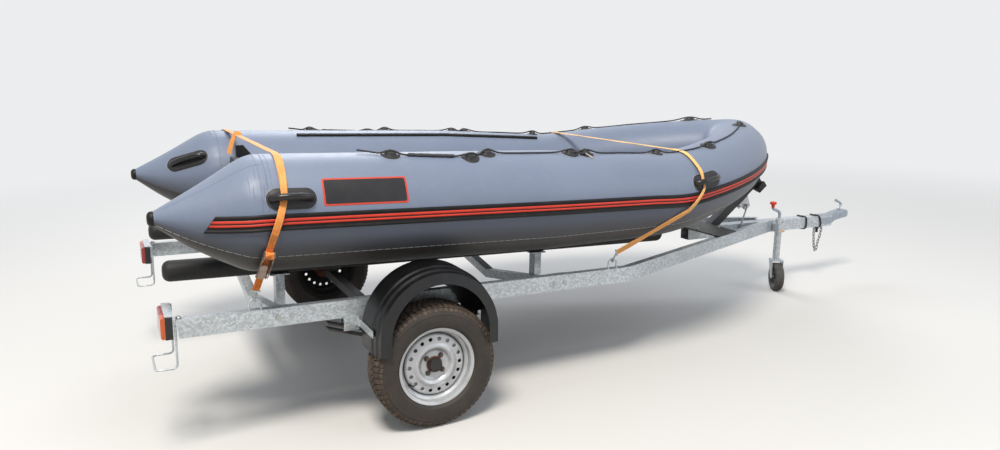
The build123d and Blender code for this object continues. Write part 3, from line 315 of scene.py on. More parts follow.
def on_side(side, spots):
    """Points set out for starboard, on either side."""
    return [mirrored(p) for p in spots] if side == "port" else spots


def whole_boat(half):
    """Rings from the starboard stern round the bow to the port stern."""
    return half + [nose_ring(0)] + [tuple(mirrored(v) for v in ring) for ring in reversed(half)]


# Where the cone is let in, the cloth is drawn in by up to 2 mm and gathered in small puckers.
# The depth is a share of the radius; the other sizes are metres along the tube.
PUCKER_DEPTH, PUCKER_WIDTH, PUCKER_REACH, PUCKERS_AROUND = 0.0045, 0.05, 0.2, 23
skin_rings = whole_boat(half_rings)
skin_points = []
for centre, outboard, upward in skin_rings:
    ring = []
    for k in range(AROUND):
        angle = 2 * pi * k / AROUND
        reach = 1.0
        from_seam = centre.x - TUBE_STERN
        if abs(from_seam) < PUCKER_REACH:
            reach -= PUCKER_DEPTH * exp(-(from_seam / PUCKER_WIDTH) ** 2) \
                * (1 + 0.7 * cos(angle * PUCKERS_AROUND + from_seam * 20))
        ring.append(centre + (outboard * cos(angle) + upward * sin(angle)) * reach)
    skin_points.append(ring)
# Cloth between the two lower seams is a wear strip, its darker colour partly painted shade, as the lower tube lies in
# shade.
LOW_SEAM, INNER_SEAM = radians(-37.5), radians(-150)
turns = [2 * pi * (k + 0.5) / AROUND for k in range(AROUND)]
turns = [turn - 2 * pi if turn > pi else turn for turn in turns]
picks = [1 if INNER_SEAM < turn < LOW_SEAM else 0 for turn in turns] * (len(skin_rings) - 1) + [0, 0]

pvc, tree, shader = new_material("welded_pvc_fabric")


def pvc_finish(tree, shader, light, dark, dust):
    """Calendered PVC on polyester scrim: satin, the weave just showing through, faint mottling, road dust and painted
    shade underneath.
    """
    where = add(tree, "ShaderNodeTexCoord")
    cloud = add(tree, "ShaderNodeTexNoise", {}, {"Vector": (where, "Object"), "Scale": 2.3, "Detail": 5})
    mottle = add(tree, "ShaderNodeMix", {"data_type": "RGBA"}, {0: (cloud, "Fac"), 6: srgb(dark), 7: srgb(light)})
    speck = add(tree, "ShaderNodeTexNoise", {},
                {"Vector": (where, "Object"), "Scale": 26, "Detail": 8, "Roughness": 0.7})
    amount = add(tree, "ShaderNodeMapRange", {},
                 {"Value": (speck, "Fac"), "From Min": 0.52, "From Max": 0.75, "To Max": 0.28})
    dusty = add(tree, "ShaderNodeMix", {"data_type": "RGBA"}, {0: (amount, 0), 6: (mottle, 2), 7: srgb(dust)})
    # Painted shade: the underside is darkened for the strake's shadow and the shade under the tube.
    facing = add(tree, "ShaderNodeSeparateXYZ", {}, {"Vector": (where, "Normal")})
    under = add(tree, "ShaderNodeMapRange", {},
                {"Value": (facing, "Z"), "From Min": 0.16, "From Max": -0.55, "To Max": 0.85})
    painted_shade_mix = add(tree, "ShaderNodeMix", {"data_type": "RGBA"}, {0: (under, 0), 6: (dusty, 2), 7: srgb("#312D2A")})
    tree.links.new(painted_shade_mix.outputs[2], shader.inputs["Base Color"])
    rough = add(tree, "ShaderNodeMapRange", {}, {"Value": (speck, "Fac"), "To Min": 0.34, "To Max": 0.56})
    tree.links.new(rough.outputs[0], shader.inputs["Roughness"])
    # Threads are about 1 mm apart, drawn at 3 mm so that they show.
    weave = add(tree, "ShaderNodeTexVoronoi", {"feature": "F1", "distance": "CHEBYCHEV"},
                {"Vector": (where, "Object"), "Scale": 330})
    soft = add(tree, "ShaderNodeTexNoise", {}, {"Vector": (where, "Object"), "Scale": 7, "Detail": 3})
    fine = add(tree, "ShaderNodeBump", {}, {"Height": (weave, "Distance"), "Strength": 0.10, "Distance": 0.0006})
    broad = add(tree, "ShaderNodeBump", {},
                {"Height": (soft, "Fac"), "Strength": 0.25, "Distance": 0.004, "Normal": (fine, 0)})
    tree.links.new(broad.outputs[0], shader.inputs["Normal"])
    shader.inputs["Specular IOR Level"].default_value = 0.5
    shader.inputs["Sheen Weight"].default_value = 0.08


pvc_finish(tree, shader, "#7E8AA1", "#6F7B91", "#8F9298")
# The wear strip's dark colours are partly painted shade.
wear_strip, tree, shader = new_material("pvc_wear_strip_and_shade")
pvc_finish(tree, shader, "#3A3733", "#2F2C29", "#4E4840")
skin = lofted("tube_skin", skin_points, [pvc, wear_strip], picks=picks)
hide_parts("tube_starboard", "tube_port", "bow_starboard", "bow_port", "stern_cones")


# Rub strake.
# Extruded black rubber glued along the widest line of the tubes: a rib at each edge and two red-orange lines between.
# It is cut on a slant at the sterns, and dips a little towards the nose.
black_rubber, tree, shader = new_material("extruded_black_rubber")
where = add(tree, "ShaderNodeTexCoord")
grime = add(tree, "ShaderNodeTexNoise", {}, {"Vector": (where, "Object"), "Scale": 14, "Detail": 8, "Roughness": 0.65})
grey = add(tree, "ShaderNodeMapRange", {},
           {"Value": (grime, "Fac"), "From Min": 0.45, "From Max": 0.8, "To Max": 0.45})
tone = add(tree, "ShaderNodeMix", {"data_type": "RGBA"}, {0: (grey, 0), 6: srgb("#0C0C0D"), 7: srgb("#35322F")})
tree.links.new(tone.outputs[2], shader.inputs["Base Color"])
sheen = add(tree, "ShaderNodeMapRange", {}, {"Value": (grime, "Fac"), "To Min": 0.38, "To Max": 0.62})
tree.links.new(sheen.outputs[0], shader.inputs["Roughness"])
grain = add(tree, "ShaderNodeTexNoise", {}, {"Vector": (where, "Object"), "Scale": 420, "Detail": 2})
rub = add(tree, "ShaderNodeBump", {}, {"Height": (grain, "Fac"), "Strength": 0.15, "Distance": 0.0006})
tree.links.new(rub.outputs[0], shader.inputs["Normal"])
shader.inputs["Specular IOR Level"].default_value = 0.3
red_rubber, tree, shader = new_material("coextruded_red_pvc")
where = add(tree, "ShaderNodeTexCoord")
fade = add(tree, "ShaderNodeTexNoise", {}, {"Vector": (where, "Object"), "Scale": 9, "Detail": 6})
tone = add(tree, "ShaderNodeMix", {"data_type": "RGBA"}, {0: (fade, "Fac"), 6: srgb("#C62A17"), 7: srgb("#E3432C")})
tree.links.new(tone.outputs[2], shader.inputs["Base Color"])
shader.inputs["Roughness"].default_value = 0.42

# Height above the strake's middle and how far it stands off the skin, both in mm, and the next band's colour.
STRAKE_HALF = 34
strake_profile = [
    (-STRAKE_HALF, 0.6, 0), (-STRAKE_HALF, 5, 0), (-32, 9, 0), (-29, 11, 0), (-25, 11, 0), (-22, 9, 0), (-21, 5, 0),
    (-20, 4, 0), (-12, 4, 0), (-10, 6, 1), (-8.5, 7.5, 1), (-2.5, 7.5, 1), (-1, 6, 0), (0, 5, 0), (3, 5, 0), (4, 6, 1),
    (5.5, 7.5, 1), (13, 7.5, 1), (15, 6, 0), (16, 4.5, 0), (20, 4.5, 0), (22, 8, 0), (25, 9.5, 0), (29, 9.5, 0),
    (32, 8, 0), (STRAKE_HALF, 4, 0), (STRAKE_HALF, 0.6, 0)]
# Where the strake starts on the cone, the rings of its cut end, and how far the cut slants; its droop at the bow.
STRAKE_START, STRAKE_CUT_RINGS, STRAKE_SLANT, STRAKE_DROOP = -0.935, 10, 0.045, radians(8)


def strake_droop(centre):
    """Angle that the strake's middle lies below the tube's widest line."""
    return STRAKE_DROOP * min(max((centre.x - BOW_START) / (bow_end - BOW_START), 0), 1)


def on_ring(ring, angle, proud):
    """Point on or above the skin at an angle above outboard."""
    centre, outboard, upward = ring
    way = outboard * cos(angle) + upward * sin(angle)
    return centre + way * (1 + proud / way.length)


strake_rings = [ring_at(STRAKE_START + 0.2445 * i / STRAKE_CUT_RINGS) for i in range(STRAKE_CUT_RINGS)]
strake_rings = whole_boat(strake_rings + half_rings[CONE_STEPS:])
rings = []
for n, ring in enumerate(strake_rings):
    droop = strake_droop(ring[0])
    # The cut end slants forwards to its upper edge, over the rings on the cone.
    slant = STRAKE_SLANT * max(1 - min(n, len(strake_rings) - 1 - n) / STRAKE_CUT_RINGS, 0)
    section = []
    for z, off, _ in strake_profile:
        here = ring
        if slant:
            here = ring_at(ring[0].x + slant * (z + STRAKE_HALF) / (2 * STRAKE_HALF))
            here = tuple(mirrored(v) for v in here) if ring[0].y > 0 else here
        section.append(on_ring(here, z / 1000 / here[2].length - droop, off / 1000))
    rings.append(section)
band = [colour for _, _, colour in strake_profile[:-1]] + [0]
strake = lofted("rub_strake", rings, [black_rubber, red_rubber], picks=band * (len(rings) - 1) + [0, 0], smooth=50)
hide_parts("strake_bow_starboard", "strake_bow_port", "strake_sides", "strake_sterns")


# Lower seam.
# The wear strip's welded edge, a thin lip whose broken line of pale glue catches the light.
# The line is made as short dashes set end to end along the edge.
def path_piece(name, points):
    """A curve through points on the level frame."""
    data = bpy.data.curves.new(name, "CURVE")
    data.dimensions = "3D"
    spline = data.splines.new("POLY")
    spline.points.add(len(points) - 1)
    for spot, p in zip(spline.points, points):
        spot.co = (*(park @ Vector(p)), 1)
    return linked(name, data)


def socket_of(tree, name):
    """Identifier of a node tree's input, by its name."""
    return next(s.identifier for s in tree.interface.items_tree if s.name == name and s.in_out == "INPUT")


def tree_for(name, inputs):
    """A geometry tree with named inputs and one result, and the node that gives its inputs."""
    tree = bpy.data.node_groups.new(name, "GeometryNodeTree")
    for label, kind in inputs.items():
        tree.interface.new_socket(label, in_out="INPUT", socket_type="NodeSocket" + kind)
    tree.interface.new_socket("Result", in_out="OUTPUT", socket_type="NodeSocketGeometry")
    return tree, add(tree, "NodeGroupInput")


def end_tree(tree, given, copies):
    """End a tree: its copies become real meshes in their finish."""
    solid = add(tree, "GeometryNodeRealizeInstances", {}, {"Geometry": (copies, 0)})
    dressed = add(tree, "GeometryNodeSetMaterial", {}, {"Geometry": (solid, 0), "Material": (given, "Finish")})
    result = add(tree, "NodeGroupOutput")
    tree.links.new(dressed.outputs[0], result.inputs[0])
    return tree


def along_tree():
    """Node tree that sets copies of one piece along a curve at a spacing, turned with it."""
    tree, given = tree_for("set_along_path", {"Path": "Geometry", "Piece": "Object", "Spacing": "Float",
                                              "Quarter turns": "Float", "Finish": "Material"})
    spots = add(tree, "GeometryNodeCurveToPoints", {"mode": "LENGTH"},
                {"Curve": (given, "Path"), "Length": (given, "Spacing")})
    turn = add(tree, "ShaderNodeMath", {"operation": "MULTIPLY"}, {0: (given, "Quarter turns"), 1: pi / 2})
    order = add(tree, "GeometryNodeInputIndex")
    roll = add(tree, "ShaderNodeMath", {"operation": "MULTIPLY"}, {0: (turn, 0), 1: (order, 0)})
    twist = add(tree, "ShaderNodeCombineXYZ", {}, {"Z": (roll, 0)})
    spin = add(tree, "FunctionNodeRotateRotation", {"rotation_space": "LOCAL"},
               {"Rotation": (spots, "Rotation"), "Rotate By": (twist, 0)})
    source = add(tree, "GeometryNodeObjectInfo", {}, {"Object": (given, "Piece")})
    copies = add(tree, "GeometryNodeInstanceOnPoints", {},
                 {"Points": (spots, "Points"), "Instance": (source, "Geometry"), "Rotation": (spin, 0)})
    return end_tree(tree, given, copies)


set_along = along_tree()


def grown(name, base, tree, values, body=OUTFIT, smooth=35):
    """Run a node tree on a base object and keep the result as one plain mesh on a body."""
    modifier = base.modifiers.new("grow", "NODES")
    modifier.node_group = tree
    for key, value in values.items():
        modifier[socket_of(tree, key)] = value
    bpy.context.view_layer.update()
    mesh = bpy.data.meshes.new_from_object(base.evaluated_get(bpy.context.evaluated_depsgraph_get()))
    bpy.data.objects.remove(base)
    for value in values.values():
        if isinstance(value, bpy.types.Object):
            bpy.data.objects.remove(value)
    mesh.name = name
    mesh.shade_smooth()
    mesh.set_sharp_from_angle(angle=radians(smooth))
    piece = linked(name, mesh)
    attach(piece, body)
    return piece


glue_line, tree, shader = new_material("weathered_glue_edge")
where = add(tree, "ShaderNodeTexCoord")
worn = add(tree, "ShaderNodeTexNoise", {}, {"Vector": (where, "Object"), "Scale": 40, "Detail": 4})
tone = add(tree, "ShaderNodeMix", {"data_type": "RGBA"}, {0: (worn, "Fac"), 6: srgb("#9FA1A0"), 7: srgb("#D0D1CC")})
tree.links.new(tone.outputs[2], shader.inputs["Base Color"])
shader.inputs["Roughness"].default_value = 0.6


def from_work(name, work):
    """An object with what a work mesh holds."""
    mesh = bpy.data.meshes.new(name)
    work.to_mesh(mesh)
    work.free()
    return linked(name, mesh)


def block(name, width, length, height, bevel, skew=0.0, top=1.0):
    """A bevelled block with its height along Z, its sides raked by the skew and its top a share of its foot."""
    work = bmesh.new()
    bmesh.ops.create_cube(work, size=1)
    bmesh.ops.scale(work, vec=(width, length, height), verts=work.verts)
    for v in work.verts:
        v.co.y += v.co.x * skew
        if v.co.z > 0:
            v.co.x *= top
            v.co.y *= top
    bmesh.ops.bevel(work, geom=work.edges, offset=bevel, segments=1, affect="EDGES")
    return from_work(name, work)


# The seam's edge starts just ahead of the cone's cap. A dash is 29 mm long, 1.9 mm wide and thick.
SEAM_START, SEAM_CONE_RINGS, SEAM_LIFT = TIP_X + 0.02, 22, 0.0004
DASH_LENGTH, DASH_WIDTH, DASH_SPACING = 0.029, 0.0019, 0.035
seam_rings = [ring_at(SEAM_START + (TUBE_STERN - TIP_X - 0.02) * i / SEAM_CONE_RINGS) for i in range(SEAM_CONE_RINGS)]
seam_rings += half_rings[CONE_STEPS:]
for side in ("starboard", "port"):
    edge = on_side(side, [on_ring(ring, LOW_SEAM, SEAM_LIFT) for ring in seam_rings])
    dash = block("dash", DASH_WIDTH, DASH_WIDTH, DASH_LENGTH, DASH_WIDTH * 0.3)
    seam = grown("seam_edge_" + side, path_piece("edge", edge), set_along,
                 {"Piece": dash, "Spacing": DASH_SPACING, "Quarter turns": 0.0, "Finish": glue_line})


# Trailer frame.
# Folded steel channels and box bar, hot-dip galvanised: dull and bright crystals of zinc under a centimetre across.
# A dull film lies in patches, and a little rust bleeds where the zinc is thin.
galvanised, tree, shader = new_material("hot_dip_galvanised_steel")
where = add(tree, "ShaderNodeTexCoord")
bend = add(tree, "ShaderNodeTexNoise", {}, {"Vector": (where, "Object"), "Scale": 30, "Detail": 3})
warp = add(tree, "ShaderNodeVectorMath", {"operation": "MULTIPLY_ADD"},
           {0: (bend, "Color"), 1: (0.02, 0.02, 0.02), 2: (where, "Object")})
# A spangle of zinc is about 8 mm across.
spangle = add(tree, "ShaderNodeTexVoronoi", {"feature": "F1"}, {"Vector": (warp, 0), "Scale": 120, "Randomness": 1})
flake = add(tree, "ShaderNodeSeparateColor", {}, {"Color": (spangle, "Color")})
tone = add(tree, "ShaderNodeMix", {"data_type": "RGBA"}, {0: (flake, 0), 6: srgb("#A9B2B9"), 7: srgb("#DCE2E6")})
cloud = add(tree, "ShaderNodeTexNoise", {}, {"Vector": (where, "Object"), "Scale": 5, "Detail": 7, "Roughness": 0.7})
film = add(tree, "ShaderNodeMapRange", {},
           {"Value": (cloud, "Fac"), "From Min": 0.42, "From Max": 0.75, "To Max": 0.5})
dull = add(tree, "ShaderNodeMix", {"data_type": "RGBA"}, {0: (film, 0), 6: (tone, 2), 7: srgb("#B3B6B6")})
fleck = add(tree, "ShaderNodeTexNoise", {},
            {"Vector": (where, "Object"), "Scale": 38, "Detail": 8, "Roughness": 0.75})
bleed = add(tree, "ShaderNodeMapRange", {},
            {"Value": (fleck, "Fac"), "From Min": 0.70, "From Max": 0.78, "To Max": 0.75})
rusty = add(tree, "ShaderNodeMix", {"data_type": "RGBA"}, {0: (bleed, 0), 6: (dull, 2), 7: srgb("#7A4A2C")})
tree.links.new(rusty.outputs[2], shader.inputs["Base Color"])
gloss = add(tree, "ShaderNodeMapRange", {}, {"Value": (flake, 1), "To Min": 0.30, "To Max": 0.52})
tree.links.new(gloss.outputs[0], shader.inputs["Roughness"])
metal = add(tree, "ShaderNodeMapRange", {}, {"Value": (film, 0), "From Max": 0.5, "To Min": 0.6, "To Max": 0.25})
tree.links.new(metal.outputs[0], shader.inputs["Metallic"])
ridge = add(tree, "ShaderNodeBump", {}, {"Height": (flake, 2), "Strength": 0.10, "Distance": 0.0008})
tree.links.new(ridge.outputs[0], shader.inputs["Normal"])


def finish_node(material, *names):
    """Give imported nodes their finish."""
    for name in names:
        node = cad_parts[name]
        node.data.materials.clear()
        node.data.materials.append(material)


finish_node(galvanised, "rail_starboard", "rail_port", "drawbar", "crossmember_rear", "crossmember_front",
            "bunk_posts", "spring_hangers", "fender_stays", "lamp_brackets", "lamp_guards", "tie_loops", "jockey_clamp",
            "jockey_sleeve", "jockey_leg", "jockey_fork")


def painted(name, base, worn, rough, share, scale=30, metallic=0.0, grit=0.2):
    """A coat with worn or dusty patches and a fine grit: real paint, casting skin, moulded plastic or rubber."""
    material, tree, shader = new_material(name)
    where = add(tree, "ShaderNodeTexCoord")
    cloud = add(tree, "ShaderNodeTexNoise", {},
                {"Vector": (where, "Object"), "Scale": scale, "Detail": 8, "Roughness": 0.68})
    patch = add(tree, "ShaderNodeMapRange", {},
                {"Value": (cloud, "Fac"), "From Min": 0.45, "From Max": 0.72, "To Max": share})
    tone = add(tree, "ShaderNodeMix", {"data_type": "RGBA"}, {0: (patch, 0), 6: srgb(base), 7: srgb(worn)})
    tree.links.new(tone.outputs[2], shader.inputs["Base Color"])
    gloss = add(tree, "ShaderNodeMapRange", {},
                {"Value": (cloud, "Fac"), "To Min": rough - 0.1, "To Max": rough + 0.14})
    tree.links.new(gloss.outputs[0], shader.inputs["Roughness"])
    # Grit of 2 mm.
    fine = add(tree, "ShaderNodeTexNoise", {}, {"Vector": (where, "Object"), "Scale": 520, "Detail": 2})
    skin = add(tree, "ShaderNodeBump", {}, {"Height": (fine, "Fac"), "Strength": grit, "Distance": 0.0006})
    tree.links.new(skin.outputs[0], shader.inputs["Normal"])
    shader.inputs["Metallic"].default_value = metallic
    return material


# Axle, springs, post and bow plate.
# Plain steel under dark grey paint, chalky with road dust and brown where the paint is through.
dark_paint = painted("dark_chassis_paint", "#2B2C2E", "#6B5F52", 0.5, 0.5)
post_paint = painted("satin_black_enamel", "#232426", "#4A4742", 0.42, 0.35)
finish_node(dark_paint, "axle", "leaf_springs")
finish_node(post_paint, "winch_post", "bow_support")

# Fittings on the drawbar.
# Zinc-plated pressings and bars, brighter than the frame; black nylon grips and a red-orange knob.
zinc_plate = painted("bright_zinc_plate", "#B9BDBE", "#8C8578", 0.32, 0.5, scale=45, metallic=0.9, grit=0.08)
nylon = painted("black_glass_filled_nylon", "#1A1A1C", "#3D3B39", 0.4, 0.4, grit=0.25)
knob_plastic = painted("red_orange_moulded_knob", "#E8431A", "#B8331A", 0.35, 0.5, scale=60, grit=0.1)
finish_node(zinc_plate, "winch", "strap_hooks")
finish_node(nylon, "clamp_handle", "transom_holders")
finish_node(knob_plastic, "jockey_knob")

# Fenders.
# Thick black polyethylene, drawn over a mould: satin with a fine pebble and dust-grey patches.
fender_plastic = painted("vacuum_formed_black_polyethylene", "#0D0E11", "#2A2A2B", 0.33, 0.3, scale=16, grit=0.3)
finish_node(fender_plastic, "fender_starboard", "fender_port")
# An inner skirt of the same sheet, 3 mm thick, closes the arch towards the rail.
ARCH_X, ARCH_Z, ARCH_OUTSIDE, ARCH_INSIDE, SKIRT_NEAR, SKIRT_FAR = 0.008, 0.445, 0.2940, 0.1950, 0.8345, 0.8375
SKIRT_STEPS, SKIRT_FROM, SKIRT_SWEEP = 40, 4, 172
skirt_section = ((SKIRT_NEAR, ARCH_OUTSIDE), (SKIRT_NEAR, ARCH_INSIDE), (SKIRT_FAR, ARCH_INSIDE),
                 (SKIRT_FAR, ARCH_OUTSIDE))
for side, name in ((-1, "starboard"), (1, "port")):
    rings = []
    for k in range(SKIRT_STEPS + 1):
        turn = radians(SKIRT_FROM + SKIRT_SWEEP * k / SKIRT_STEPS)
        rings.append([Vector((ARCH_X + reach * cos(turn), side * y, ARCH_Z + reach * sin(turn)))
                      for y, reach in skirt_section])
    panel = lofted("fender_skirt_" + name, rings, [fender_plastic])

# Transom and rails.
# A dark varnished plywood board, smooth with dull scuffs, in moulded holders between the tubes.
# Extruded black rubber rails for the bench run along the tubes' inner sides.
# The board's near-black colour is partly painted shade, for its aft face in shade.
board = painted("black_phenolic_plywood", "#1E1E20", "#3C3A38", 0.4, 0.3, grit=0.15)
finish_node(board, "transom", "lamp_housings")
finish_node(black_rubber, "bench_rails", "carry_handles", "line_eyelets", "cone_caps", "bow_stop")

# Tail lamps.
# Moulded acrylic lenses: orange outboard, dark red towards the middle, with fine upright prisms inside.
LENS_SPLIT_Y = 0.737
lens, tree, shader = new_material("moulded_acrylic_lens")
where = add(tree, "ShaderNodeTexCoord")
part = add(tree, "ShaderNodeSeparateXYZ", {}, {"Vector": (where, "Object")})
wide = add(tree, "ShaderNodeMath", {"operation": "ABSOLUTE"}, {0: (part, "Y")})
outer = add(tree, "ShaderNodeMath", {"operation": "GREATER_THAN"}, {0: (wide, 0), 1: LENS_SPLIT_Y})
tone = add(tree, "ShaderNodeMix", {"data_type": "RGBA"}, {0: (outer, 0), 6: srgb("#9A1E1C"), 7: srgb("#D95F14")})
tree.links.new(tone.outputs[2], shader.inputs["Base Color"])
prism = add(tree, "ShaderNodeTexWave", {"wave_type": "BANDS", "bands_direction": "Y"},
            {"Vector": (where, "Object"), "Scale": 60})
facet = add(tree, "ShaderNodeBump", {}, {"Height": (prism, "Fac"), "Strength": 0.35, "Distance": 0.001})
tree.links.new(facet.outputs[0], shader.inputs["Normal"])
glow = add(tree, "ShaderNodeMapRange", {}, {"Value": (prism, "Fac"), "To Min": 0.12, "To Max": 0.24})
tree.links.new(glow.outputs[0], shader.inputs["Roughness"])
shader.inputs["Coat Weight"].default_value = 0.4
finish_node(lens, "lamp_lenses")

# Road wheels.
# Steel rims pressed from plate: a disc with a ring of round vents and a raised crown, welded into a rolled barrel.
# Radial road tyres with a worn block tread; the cast hub shows its rust round a black dust cap.
casting = painted("rusty_cast_iron", "#6E3B22", "#2B211C", 0.7, 0.8, scale=60, metallic=0.2, grit=0.6)
for side in ("starboard", "port"):
    finish_node(casting, "hub_" + side)
TRACK = 0.950
# A wheel's own frame has its Z axis outboard.
wheel_frames = {}
for side, out in (("starboard", -1), ("port", 1)):
    wheel_frames[side] = park @ Matrix.Translation((0, out * TRACK, WHEEL_RADIUS)) \
        @ Matrix(((-out, 0, 0, 0), (0, 0, out, 0), (0, 1, 0, 0), (0, 0, 0, 1)))


def turned_rings(profile, count=96):
    """Rings of points for an outline of (axial, radial) places turned about the Z axis."""
    return [[Vector((r * cos(2 * pi * k / count), r * sin(2 * pi * k / count), a)) for k in range(count)]
            for a, r in profile]


tyre_side = [(0.058, 0.1735), (0.064, 0.1815), (0.0705, 0.1838), (0.0755, 0.1870), (0.0800, 0.1930), (0.0812, 0.1945),
             (0.0830, 0.1950), (0.0858, 0.2080), (0.0872, 0.2200), (0.0874, 0.2300), (0.0868, 0.2380), (0.0858, 0.2450),
             (0.0862, 0.2458), (0.0856, 0.2490), (0.0838, 0.2530), (0.0800, 0.2610), (0.0745, 0.2690), (0.0680, 0.2755),
             (0.0590, 0.2792), (0.0400, 0.2806), (0.0200, 0.2812)]
tyre_outline = tyre_side + [(-a, r) for a, r in reversed(tyre_side)]


def disc_height(r):
    """Axial height of the disc's face at a radius: flat centre, raised crown, vent ring and turned-in edge."""
    table = [(0.030, 0.0300), (0.060, 0.0300), (0.066, 0.0310), (0.072, 0.0370), (0.079, 0.0450), (0.087, 0.0490),
             (0.094, 0.0470), (0.101, 0.0420), (0.107, 0.0400), (0.136, 0.0385), (0.141, 0.0350), (0.1445, 0.0270),
             (0.147, 0.0120)]
    for (r0, a0), (r1, a1) in zip(table, table[1:]):
        if r <= r1 + 1e-9:
            return a0 + (a1 - a0) * max(r - r0, 0) / (r1 - r0)
    return table[-1][1]


VENTS, VENT_CIRCLE, VENT_RADIUS = 18, 0.1215, 0.0092
disc_points, disc_faces = [], []


def polar(r, turn, back=0.0):
    """Point on the disc's face, or behind it."""
    return Vector((r * cos(turn), r * sin(turn), disc_height(r) - back))


# The vent ring is made sector by sector: a loop of points round each vent is joined to the vent's own rim.
VENT_RING_IN, VENT_RING_OUT, VENT_ROUNDING, PLATE = 0.107, 0.136, 0.0012, 0.0038
half = pi / VENTS
sides = (0.1143, VENT_CIRCLE, 0.1288)
corners = [(VENT_RING_IN, half * t) for t in (-1, -0.5, 0, 0.5, 1)] + [(r, half) for r in sides]
corners += [(VENT_RING_OUT, half * t) for t in (1, 0.5, 0, -0.5, -1)] + [(r, -half) for r in sides[::-1]]
round_turns = [atan2(t * VENT_CIRCLE, r - VENT_CIRCLE) for r, t in corners]
for n in range(VENTS):
    mid = 2 * pi * n / VENTS
    loops = [[polar(r, mid + t) for r, t in corners]]
    for reach, back in ((VENT_RADIUS + VENT_ROUNDING, 0.0), (VENT_RADIUS, 0.0010), (VENT_RADIUS, PLATE)):
        loops.append([polar(VENT_CIRCLE + reach * cos(turn), mid + reach * sin(turn) / VENT_CIRCLE, back)
                      for turn in round_turns])
    disc_faces += band_faces(len(loops), len(corners), len(disc_points))
    disc_points += [p for loop in loops for p in loop]
for radii in ((0.026, 0.030, 0.045, 0.060, 0.066, 0.069, 0.072, 0.0755, 0.079, 0.083, 0.087, 0.0905, 0.094, 0.0975,
               0.101, 0.104, VENT_RING_IN), (VENT_RING_OUT, 0.141, 0.1445, 0.147)):
    count = VENTS * 4
    disc_faces += band_faces(len(radii), count, len(disc_points))
    disc_points += [polar(r, 2 * pi * k / count) for r in radii for k in range(count)]
# Outline of the rolled barrel: its places from BARREL_BACK on lie behind the disc.
BARREL_AROUND, BARREL_BACK, DISC_THICK = 72, 18, 0.004
barrel = [(0.012, 0.1466), (0.0120, 0.1500), (0.020, 0.1502), (0.028, 0.1535), (0.0335, 0.1600), (0.037, 0.1662),
          (0.044, 0.1678), (0.054, 0.1690), (0.060, 0.1705), (0.0635, 0.1750), (0.0655, 0.1800), (0.0680, 0.1818),
          (0.0705, 0.1812), (0.0700, 0.1790), (0.0670, 0.1735), (0.0640, 0.1670), (0.0400, 0.1635), (0.0340, 0.1560),
          (0.0260, 0.1475), (-0.030, 0.1460), (-0.047, 0.1640), (-0.0660, 0.1670), (-0.0700, 0.1780), (-0.0700, 0.1820),
          (-0.0650, 0.1820), (-0.0600, 0.1720), (-0.0450, 0.1690), (-0.030, 0.1500)]
# Silver lacquer over pressed steel: a fine metallic glint under clear coat, greyed by road dust.
silver, tree, shader = new_material("silver_wheel_lacquer")
where = add(tree, "ShaderNodeTexCoord")
dust = add(tree, "ShaderNodeTexNoise", {}, {"Vector": (where, "Object"), "Scale": 16, "Detail": 8, "Roughness": 0.7})
share = add(tree, "ShaderNodeMapRange", {}, {"Value": (dust, "Fac"), "From Min": 0.48, "From Max": 0.8, "To Max": 0.55})
tone = add(tree, "ShaderNodeMix", {"data_type": "RGBA"}, {0: (share, 0), 6: srgb("#C3C6C9"), 7: srgb("#8F887E")})
painted_hollow_shade = add(tree, "ShaderNodeAmbientOcclusion", {"samples": 8}, {"Distance": 0.012})
# Painted shade: the lacquer is darkened where it turns inwards, as the rim's inside lies in shade.
corner = add(tree, "ShaderNodeMapRange", {},
             {"Value": (painted_hollow_shade, "AO"), "From Min": 0.25, "From Max": 0.8, "To Min": 0.75, "To Max": 0.0})
painted_shade_mix = add(tree, "ShaderNodeMix", {"data_type": "RGBA"}, {0: (corner, 0), 6: (tone, 2), 7: srgb("#5A5048")})
tree.links.new(painted_shade_mix.outputs[2], shader.inputs["Base Color"])
flake = add(tree, "ShaderNodeTexNoise", {}, {"Vector": (where, "Object"), "Scale": 900, "Detail": 1})
glint = add(tree, "ShaderNodeMapRange", {}, {"Value": (flake, "Fac"), "To Min": 0.28, "To Max": 0.46})
tree.links.new(glint.outputs[0], shader.inputs["Roughness"])
shader.inputs["Metallic"].default_value = 0.4
shader.inputs["Coat Weight"].default_value = 0.25

# Sidewall rubber is matt, brown with dust and finely grained.
tyre_wall, tree, shader = new_material("dusty_sidewall_rubber")
where = add(tree, "ShaderNodeTexCoord")
dust = add(tree, "ShaderNodeTexNoise", {}, {"Vector": (where, "Object"), "Scale": 11, "Detail": 9, "Roughness": 0.72})
share = add(tree, "ShaderNodeMapRange", {}, {"Value": (dust, "Fac"), "From Min": 0.35, "From Max": 0.72, "To Max": 0.6})
tone = add(tree, "ShaderNodeMix", {"data_type": "RGBA"}, {0: (share, 0), 6: srgb("#2B2826"), 7: srgb("#54483F")})
tree.links.new(tone.outputs[2], shader.inputs["Base Color"])
rough = add(tree, "ShaderNodeMapRange", {}, {"Value": (dust, "Fac"), "To Min": 0.5, "To Max": 0.8})
tree.links.new(rough.outputs[0], shader.inputs["Roughness"])
fine = add(tree, "ShaderNodeTexNoise", {}, {"Vector": (where, "Object"), "Scale": 300, "Detail": 4})
skin = add(tree, "ShaderNodeBump", {}, {"Height": (fine, "Fac"), "Strength": 0.35, "Distance": 0.001})
tree.links.new(skin.outputs[0], shader.inputs["Normal"])
# Tread is rubbed pale by the road; the rims' backs are painted near-black as shade; bolts show rust at their edges.
tread_rubber = painted("road_dusted_tread", "#4C4138", "#7B6B5C", 0.8, 0.85, scale=34, grit=0.6)
rim_back = painted("rim_back_painted_shade", "#1A1817", "#2E2722", 0.8, 0.6, scale=20, grit=0.4)
cap_plastic = painted("black_dust_cap", "#202022", "#45423F", 0.4, 0.35, grit=0.1)
bolt_steel = painted("wheel_bolt_steel", "#5B5956", "#7A4A2C", 0.5, 0.5, scale=80, metallic=0.7, grit=0.2)


